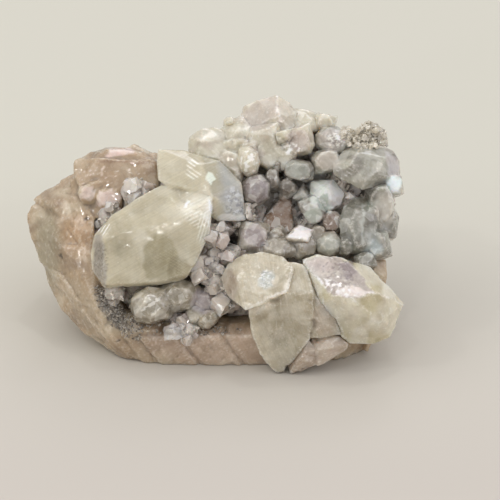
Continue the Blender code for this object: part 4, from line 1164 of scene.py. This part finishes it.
FRONT_RIGHT_CRYSTAL_TINTS = (
    Tint(facet(0.2, (17.4, 22.2), (20.4, 23.2), (25.2, 22.9), (28.8, 19.9), (31.6, 15.9), (27.2, 14.7),
         (22.8, 15.9), (19, 20.2)), "bab0aa", 0.95),
    # The next four paint light on the kite face: a painted highlight strip, a painted shadow patch, a
    # painted highlight on its lower edge and painted reflections in bright flecks.
    Tint(facet(0.4, (17.6, 22), (21.4, 23), (24, 21.6), (23, 19), (20, 19.4)), "d0c4bf", 0.8),
    Tint(facet(0.5, (25, 21.8), (27.4, 22.2), (28.2, 20), (26.8, 18.4), (25.4, 19)), "9a8e90", 0.8),
    Tint(facet(0.3, (24.6, 16.9), (26.6, 17.4), (29.6, 16.6), (31.4, 15.9), (27.2, 14.9), (24, 15.6)),
         "f0e6e2", 0.9),
    Tint(Flecks(facet(0.3, (17.4, 22.2), (20.4, 22.6), (25.6, 17.8), (31.6, 16.2), (27.2, 14.7),
         (22.8, 15.9), (19, 20.2)), 0.6, 0.4, 14), "fffafa", 0.9),
    Tint(Flecks(Zone(24.6, 19.6, 5, 2.6, roll=-30), 0.6, 0.25, 34), "8f8384", 0.6),
    Tint(Zone(35.4, 10.6, 2, 4.6, roll=10), "e8e4d2", 0.6),
    Tint(Zone(30.6, 12.8, 3.4, 2.6, soft=1), "dcd3ac", 0.35))

SUMMIT_CRYSTALS_TINTS = (
    Tint(facet(0.4, (5, 51.6), (8.6, 54.8), (12.4, 55.8), (12.6, 51.6), (8, 48.6)), "c6bcb2", 0.8),
    Tint(facet(0.3, (12.4, 55.8), (15.2, 54.4), (16.4, 52), (12.7, 51.4)), "e0dacd", 0.7),
    Tint(Zone(16.6, 46.4, 3, 2.8, soft=0.5), "b9aca4", 0.8),
    Tint(Zone(2.8, 41.8, 3, 3, soft=0.6), "bfb6a4", 0.7),
    # The last three are painted highlights: bright crackle and white dots where light glints.
    Tint(Flecks(Zone(6.8, 42.2, 2.2, 3), 0.7, 0.35, 16), "fffdf8", 0.8),
    Tint(Flecks(Zone(15.4, 44.8, 2.4, 1.5), 0.6, 0.35, 17), "fffdf8", 0.8),
    Tint(Flecks(Zone(9, 48, 9, 6), 0.5, 0.05, 36), "fffdf8", 0.3))

SHOULDER_CRYSTALS_TINTS = (
    Tint(Zone(30.5, 47.5, 5.6, 3), "dcd4c0", 0.85),
    Tint(Zone(23.4, 46.6, 3.6, 2.8), "bfb7b2", 0.7),
    Tint(Zone(22.4, 42.4, 3, 2.4), "c6bcb0", 0.7),
    Tint(facet(0.5, (34.4, 44.2), (37.2, 43), (37.3, 39.4), (34.8, 38.6)), "d2cdcf", 0.7),
    # The last three are painted highlights: glint lines, glinting flecks and a bright cyan-white facet.
    Tint(Stripes(Zone(26, 40.2, 2, 1.4), (0.5, 0.86), 0.8, 0.08, 18), "fdfcf8", 0.7),
    Tint(Flecks(Zone(24.4, 46.6, 2.2, 2), 0.6, 0.35, 37), "fffdf8", 0.8),
    Tint(Zone(36, 37.6, 1.9, 2.2), "eafafa", 1))

RIGHT_EDGE_CRYSTALS_TINTS = (
    Tint(Zone(27.8, 30.4, 2.8, 3.6, soft=0.5), "a5a298", 0.8),
    Tint(Zone(31.6, 26.6, 2.6, 3.4, soft=0.8), "b0b6b2", 0.5),
    Tint(facet(0.6, (25.4, 33), (29, 34.2), (28.6, 24.6), (25.6, 25.6)), "7a7a70", 0.6),
    Tint(facet(0.4, (29.4, 33.6), (30, 33.6), (29.6, 25), (29.2, 25)), "c8cec8", 0.5),
    Tint(Zone(31.8, 24.8, 2.4, 2.2, soft=0.7), "cdd9dc", 0.6),
    Tint(Zone(34.2, 33, 2.6, 4.8, soft=0.5), "d6d0c4", 0.7))

POCKET_CRYSTALS_TINTS = (
    Tint(facet(0.5, (19, 33), (19.2, 38.2), (23.8, 39), (26.2, 35.8), (23, 32)), "ecf4ea", 1),
    # Painted highlight: the bright right part of the pocket's bright crystal.
    Tint(facet(0.3, (22.6, 36.4), (23.4, 39.2), (26.4, 35.8), (25, 33.6), (22.8, 33.4)), "ffffff", 1),
    Tint(facet(0.3, (20.4, 34.6), (22.6, 36.4), (23, 32.2), (20.6, 32.8)), "cdd8cd", 0.9),
    # The next two are painted highlights: a bright edge and glinting flecks.
    Tint(facet(0.3, (23.2, 33), (25, 35.4), (25.5, 35), (23.6, 32.6)), "ffffff", 1),
    Tint(Flecks(Zone(22.6, 35.4, 3.4, 3.2), 0.6, 0.2, 19), "ffffff", 0.8),
    Tint(Zone(19.6, 31.4, 2.2, 2.2), "d4dcd0", 0.8),
    Tint(Zone(17.6, 35.2, 1.8, 2), "dcdcd4", 0.9),
    Tint(Zone(8.2, 36.6, 3.2, 3.4), "b2a6a8", 0.8),
    Tint(Zone(16.6, 40.6, 3.2, 2.4), "c6cabf", 0.7),
    Tint(facet(0.3, (9.4, 30.6), (13.2, 34.9), (15.6, 34.6), (15.8, 27.6), (10, 27.6)), "9c7c62", 0.9),
    Tint(Zone(23.4, 30, 2.4, 2.4), "9a7e68", 0.8))

MIDDLE_CRYSTALS_TINTS = (
    # Painted reflection: the rhomb facet is painted near white.
    Tint(facet(0.3, (14.2, 27), (16.8, 29.5), (19.8, 28.4), (18.4, 26.4)), "fff4f2", 1),
    Tint(facet(0.4, (9.4, 24.6), (10.6, 26.8), (14.2, 26.2), (12.8, 23.6)), "bcb6ab", 0.5),
    Tint(Zone(8, 27, 3, 3), "b6aaae", 0.6),
    Tint(Zone(22.9, 25.5, 3, 2.6, soft=0.5), "bcc2ba", 0.6))

OVAL_CRYSTALS_TINTS = (
    # Painted highlights: bright white flecks on the big oval.
    Tint(Flecks(Zone(-12.8, 13.2, 3, 2.6), 0.9, 0.2, 20), "fbf9f4", 0.6),
    Tint(Zone(-2.2, 14.2, 3, 3), "b4aaae", 0.7))

STILBITE_SHEAF_TINTS = (
    Tint(Zone(-19, 40, 9, 4.6, soft=0.6), "a38a6e", 0.6),
    Tint(Zone(-27.6, 27.6, 5.4, 6, soft=0.7), "bf9f7c", 0.7),
    Tint(Zone(-34, 24, 4.4, 14, soft=0.8), "989078", 0.75),
    Tint(Zone(-26.4, 13, 4, 11, roll=36, soft=0.8), "bfaf96", 0.7),
    # The next three are painted highlights: pink-white facets painted near white where they catch light.
    Tint(facet(0.3, (-27.2, 35), (-26.8, 37.2), (-24.6, 37.4), (-24.2, 35.4), (-25.4, 34.4)), "e6d6cd",
         0.85),
    Tint(facet(0.3, (-23.8, 33.4), (-23.6, 36.2), (-20.6, 36.6), (-19, 35.4), (-19.4, 33)), "e6d4cc",
         0.85),
    Tint(facet(0.4, (-22, 43.2), (-21.2, 45.2), (-17, 45), (-16, 43.8)), "ecd9d3", 0.85),
    # Painted shadow: the dark line under the upper block's ledge.
    Tint(facet(0.4, (-23.8, 42.2), (-23.6, 42.8), (-11.8, 42.3), (-11.8, 41.6)), "87684c", 0.7),
    # The next five are painted glints: a bright sliver and small bright flecks.
    Tint(facet(0.3, (-23, 39.6), (-22.6, 41.2), (-22.3, 41.2), (-22.6, 39.4)), "f6e8de", 0.7),
    Tint(Flecks(Zone(-19, 39.4, 5.4, 2), 0.4, 0.06, 21), "f4e6d8", 0.6),
    Tint(Flecks(Zone(-24.6, 38, 3.4, 4), 0.4, 0.06, 38), "f4e2d8", 0.6),
    Tint(Flecks(Zone(-30, 22, 8, 14), 0.6, 0.04, 64), "ddd1bf", 0.4),
    Tint(Flecks(Zone(-27, 10, 7, 9), 0.5, 0.05, 65), "e4d9c8", 0.4),
    Tint(Flecks(Zone(-28, 24, 9, 16), 0.9, 0.06, 66), "8f7c66", 0.4),
    Tint(Stripes(Zone(-26.8, 23.6, 2.4, 1.4), (0.1, 1), 0.6, 0.06, 22), "f6e8d4", 0.8),
    Tint(Stripes(Zone(-27, 13, 2.2, 11, roll=32), (0.86, 0.5), 1.4, 0.07, 23), "efe3d0", 0.5),
    Tint(Zone(-25.8, 30.6, 0.5, 0.4), "4a3a2c", 0.9),
    Tint(Zone(-31, 23.2, 0.5, 0.5), "4a3a2c", 0.9),
    Tint(Zone(-19.2, 6, 0.4, 0.5), "4a3a2c", 0.9),
    Tint(Zone(4, 5, 24, 6, soft=0.6), "c8b3a2", 0.75),
    Tint(Stripes(Zone(-3, 4.6, 12, 4.4), (0.82, 0.57), 3.1, 0.09, 24), "eadccc", 0.7),
    Tint(Flecks(Zone(0, 5, 22, 4), 0.5, 0.06, 40), "e0d0c0", 0.5),
    Tint(Zone(-20.9, 12.8, 2.3, 6.4, roll=32, soft=0.5), "8f877d", 0.85),
    Tint(Flecks(Zone(-20.9, 12.8, 2.3, 6.4, roll=32), 0.35, 0.3, 59), "5f574f", 0.7),
    Tint(Zone(-17, 9, 2.4, 3.6, roll=30, soft=0.9), "b4ada2", 0.4))


def front_pieces() -> list[GrownPiece]:
    """The pieces at the front: the great blade, the two big crystals and those at their feet."""
    return [
        GrownPiece("great_blade", GREEN_MILKY, "c6bea6", ("d2ccba", "bcb49d"),
                   (*grown(3, 10, 1.6, 0.02, (6, 0.1), (1.2, 0.02)),
                    Fan((1, 0, 0), 9, 0.05, 8, origin=(1.6, 36.6), zone=Zone(-3.4, 31.4, 5, 3.6, roll=50)),
                    Striae((0.57, 0.82, 0), 0.8, 0.08, 9, zone=Zone(-3.4, 40.4, 5.4, 2.6, roll=-38)),
                    Striae((0.75, 0.65, 0.2), 0.7, 0.05, 10, zone=Zone(-9, 22.5, 8, 5)),
                    Dent(Zone(-6.4, 35, 3.4, 2.2, roll=-35, soft=0.9), 0.5)),
                   GREAT_BLADE_TINTS, mottle_size=7, voxel=0.25, swell=0.17, rounds=6, chips=40),
        GrownPiece("front_left_crystal", MILKY, "bab19b", ("cdc6b4", "ada28b"),
                   (*grown(13, 10, 1.5, 0.03, (5, 0.14), (1, 0.03)),
                    Striae((0.9, 0.2, 0.1), 1, 0.04, 17, patch=4)),
                   FRONT_LEFT_CRYSTAL_TINTS, mottle_size=3.6, voxel=0.21, chips=60),
        GrownPiece("front_right_crystal", YELLOW_MILKY, "d2cbb8", ("dfdaca", "c4bb9e"),
                   (*grown(23, 10, 1.4, 0.03, (5, 0.12), (1, 0.03)),
                    Striae((0.8, 0.5, 0), 1.2, 0.04, 27, patch=4)),
                   FRONT_RIGHT_CRYSTAL_TINTS, chips=50),
        GrownPiece("foot_crystals", SMALL_MILKY, "c8baab", ("d9ccbf", "b4a392"),
                   grown(33, 8, 0.8, 0.04, (2.4, 0.1), (1, 0.05)),
                   swell=0.22, chips=30)]


def upper_pieces() -> list[GrownPiece]:
    """The pieces at the top and the right: summit, shoulder, edge, pocket and middle."""
    return [
        GrownPiece("summit_crystals", SMALL_MILKY, "cbc5b2", ("dcd8ca", "bcb2a2"),
                   grown(43, 40, 0.8, 0.03, (2.4, 0.06), (0.8, 0.02)),
                   SUMMIT_CRYSTALS_TINTS, mottle_size=3.5, voxel=0.21, rounds=1, fill=0.8, chips=70),
        GrownPiece("shoulder_crystals", OVAL, "a09e91", ("b4b3a6", "8a867b"),
                   grown(53, 30, 0.9, 0.03, (2.4, 0.06), (0.8, 0.02)),
                   SHOULDER_CRYSTALS_TINTS, mottle_size=3, swell=0.17, rounds=1, fill=0.8, chips=50),
        GrownPiece("right_edge_crystals", OVAL, "79776c", ("969a8e", "6f6b60"),
                   grown(63, 30, 0.8, 0.03, (2.2, 0.05), (0.8, 0.02)),
                   RIGHT_EDGE_CRYSTALS_TINTS, mottle_size=2.8, voxel=0.19, rounds=1, fill=1, chips=40),
        GrownPiece("pocket_crystals", CLEAR, "a0988c", ("c2c0b8", "7c7166"),
                   grown(73, 30, 0.7, 0.03, (2, 0.04), (0.8, 0.02)),
                   POCKET_CRYSTALS_TINTS, mottle_size=2, voxel=0.22, swell=0.22, rounds=1, fill=0.6,
                   chips=60),
        GrownPiece("middle_crystals", OVAL, "978f80", ("bcb7ab", "8c8478"),
                   grown(83, 26, 0.7, 0.03, (2, 0.05), (0.7, 0.02)),
                   MIDDLE_CRYSTALS_TINTS, mottle_size=2.2, voxel=0.18, rounds=1, fill=0.9, chips=50),
        GrownPiece("oval_crystals", OVAL, "938b79", ("b4ac9b", "8a816f"),
                   grown(93, 16, 0.9, 0.03, (2.6, 0.12), (0.9, 0.04)),
                   OVAL_CRYSTALS_TINTS, mottle_size=2.4, voxel=0.18, rounds=3, fill=0.8, chips=20),
        GrownPiece("back_crystals", MILKY, "cdc5b3", ("dad5c8", "b6ac9c"),
                   grown(103, 24, 1.2, 0.03, (3.5, 0.14), (0.8, 0.02)),
                   voxel=0.32, swell=0.17, chips=60)]


def ground_pieces() -> list[GrownPiece]:
    """The tan stilbite and the grey matrix that everything else grew on."""
    return [
        GrownPiece("stilbite_sheaf", BLADES, "b49e82", ("c6b69d", "9a846b"),
                   (*grown(113, 40, 2, 0.06, (5, 0.15), (1.8, 0.06)),
                    Swell(0.9, 0.03, 114),
                    Rings((1, 0, 0), 1.6, 0.08, 117, origin=(-10, 31.4), zone=Zone(-27, 18, 14, 22)),
                    Striae((0.1, 1, 0), 0.7, 0.08, 121, zone=Zone(-27, 25, 4.6, 3.4)),
                    Striae((0.82, 0.57, 0), 2.2, 0.12, 118, zone=Zone(0, 4, 30, 7))),
                   STILBITE_SHEAF_TINTS, mottle_size=5, voxel=0.39, swell=0.17, rounds=1, chips=50,
                   chip=(0.1, 0.35)),
        GrownPiece("druse_matrix", MATRIX, "cec6bc", ("d0c8c2", "a2988f"),
                   (Swell(2.8, 0.3, 123), Hillocks(140, 0.9, 0.1, 124), Swell(1.3, 0.14, 125)),
                   # Painted shade: the hollows are painted near black.
                   tuple(Tint(hollow, "2c2625", 0.95) for hollow in HOLLOWS), mottle_size=3, voxel=0.42,
                   swell=0.2, rounds=1, fill=0.6)]


GREYS = ("d8d0c5", "e8e0d4", "c0b8ab", "efe9dd", "cac1b0")
SPECKLED = ("8d857a", "b5ac9f", "6b635a", "cfc6b8", "9c9488")
LILACS = ("e8dad2", "dacbc3", "f2e6dc", "e4d8cc")
DARKS = ("857d74", "665e56", "a8a098")
CREAMS = ("d6cebc", "c6bdaa", "e0d9ca")


def sown(ground: str, colours: tuple[str, ...], seed: int, rows: tuple, **more) -> tuple[Sowing, ...]:
    """Several sowings on one piece.

    Args:
        ground: the piece that the crystals stand on.
        colours: their colours.
        seed: the first one's seed, which goes up by one for each.
        rows: a side, a count and the sizes for each sowing.
        more: what they all share.

    Returns:
        One sowing for each row.
    """
    return tuple(Sowing(side, ground, count, sizes, colours, seed + index, **more)
                 for index, (side, count, sizes) in enumerate(rows))


def druses() -> list[Druse]:
    """The small crystals that stand on the matrix, in the pocket and on the rough mass.

    Returns:
        One joined mesh for each part of the specimen.
    """
    front, left, right = Side.FRONT, Side.FRONT_LEFT, Side.FRONT_RIGHT
    matrix, stilbite, shoulder = "druse_matrix", "stilbite_sheaf", "shoulder_crystals"
    small, tiny, crumb = (0.3, 0.9), (0.35, 1), (0.2, 0.5)
    larger = (Sowing(front, matrix, 900, (1.4, 3.2), LILACS, 231, blocky=True, window=(9.5, 24, 32, 34)),
              *sown(matrix, LILACS, 232, ((left, 300, (1, 2.4)), (right, 300, (1, 2.4))), blocky=True))
    crust = ((16.2, 31.6, 1.5, 2.8), (29, 36.4, 3.6, 2.8))
    grains = (*sown(matrix, GREYS, 201, ((front, 3000, (0.3, 0.8)), (left, 1200, small),
                                         (right, 1200, small))),
              *(Sowing(front, "pocket_crystals", 170, crumb, DARKS, 204 + index, Zone(*window),
                       window=window) for index, window in enumerate(crust)))
    around = sown(matrix, GREYS, 211, ((Side.BACK, 1500, (0.4, 1.1)), (Side.BACK_LEFT, 800, (0.4, 1.1)),
                                       (Side.BACK_RIGHT, 800, (0.4, 1.1)), (Side.RIGHT, 1000, tiny),
                                       (Side.TOP, 1000, tiny)))
    crumbs = (Sowing(front, stilbite, 500, crumb, SPECKLED, 241, Zone(-17, 9.2, 2.8, 4, roll=30),
                     window=(-17, 9.2, 4, 4.4)),
              Sowing(front, stilbite, 420, crumb, SPECKLED, 242, Zone(-5, 8.6, 12, 1.6),
                     window=(-5, 8.6, 12, 1.6)),
              Sowing(front, stilbite, 2000, (0.2, 0.6), SPECKLED, 243,
                     Zone(-20.9, 12.8, 2.4, 6.6, roll=32, soft=0.5), window=(-20.9, 12.8, 5.2, 6.6)))
    over = (30.6, 47.8, 5.8, 3.4)
    mass = Zone(*over, soft=0.2)
    cream = (Sowing(front, shoulder, 260, (0.5, 1.2), CREAMS, 221, mass, blocky=True, window=over),
             Sowing(front, shoulder, 500, (0.3, 0.7), CREAMS, 223, mass, window=over),
             Sowing(Side.TOP, shoulder, 5000, (0.5, 1.1), CREAMS, 222, mass, blocky=True))
    return [Druse("druse_crystals_front", CLEAR, matrix, larger, lean=0.7),
            Druse("druse_grains_front", GRAINS, matrix, grains),
            Druse("druse_grains_around", GRAINS, matrix, around),
            Druse("grains_on_stilbite", GRAINS, stilbite, crumbs),
            Druse("rough_mass_grains", GRAINS, shoulder, cream)]


def main() -> None:
    """Build the specimen piece by piece, then the studio."""
    logging.basicConfig(level=logging.INFO, format="%(message)s")
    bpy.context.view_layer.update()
    pieces = [*ground_pieces(), *front_pieces(), *upper_pieces()]
    done = {piece.node: piece.build() for piece in pieces}
    for druse in druses():
        druse.build(done)
    Studio().build()


if __name__ == "__main__":
    main()
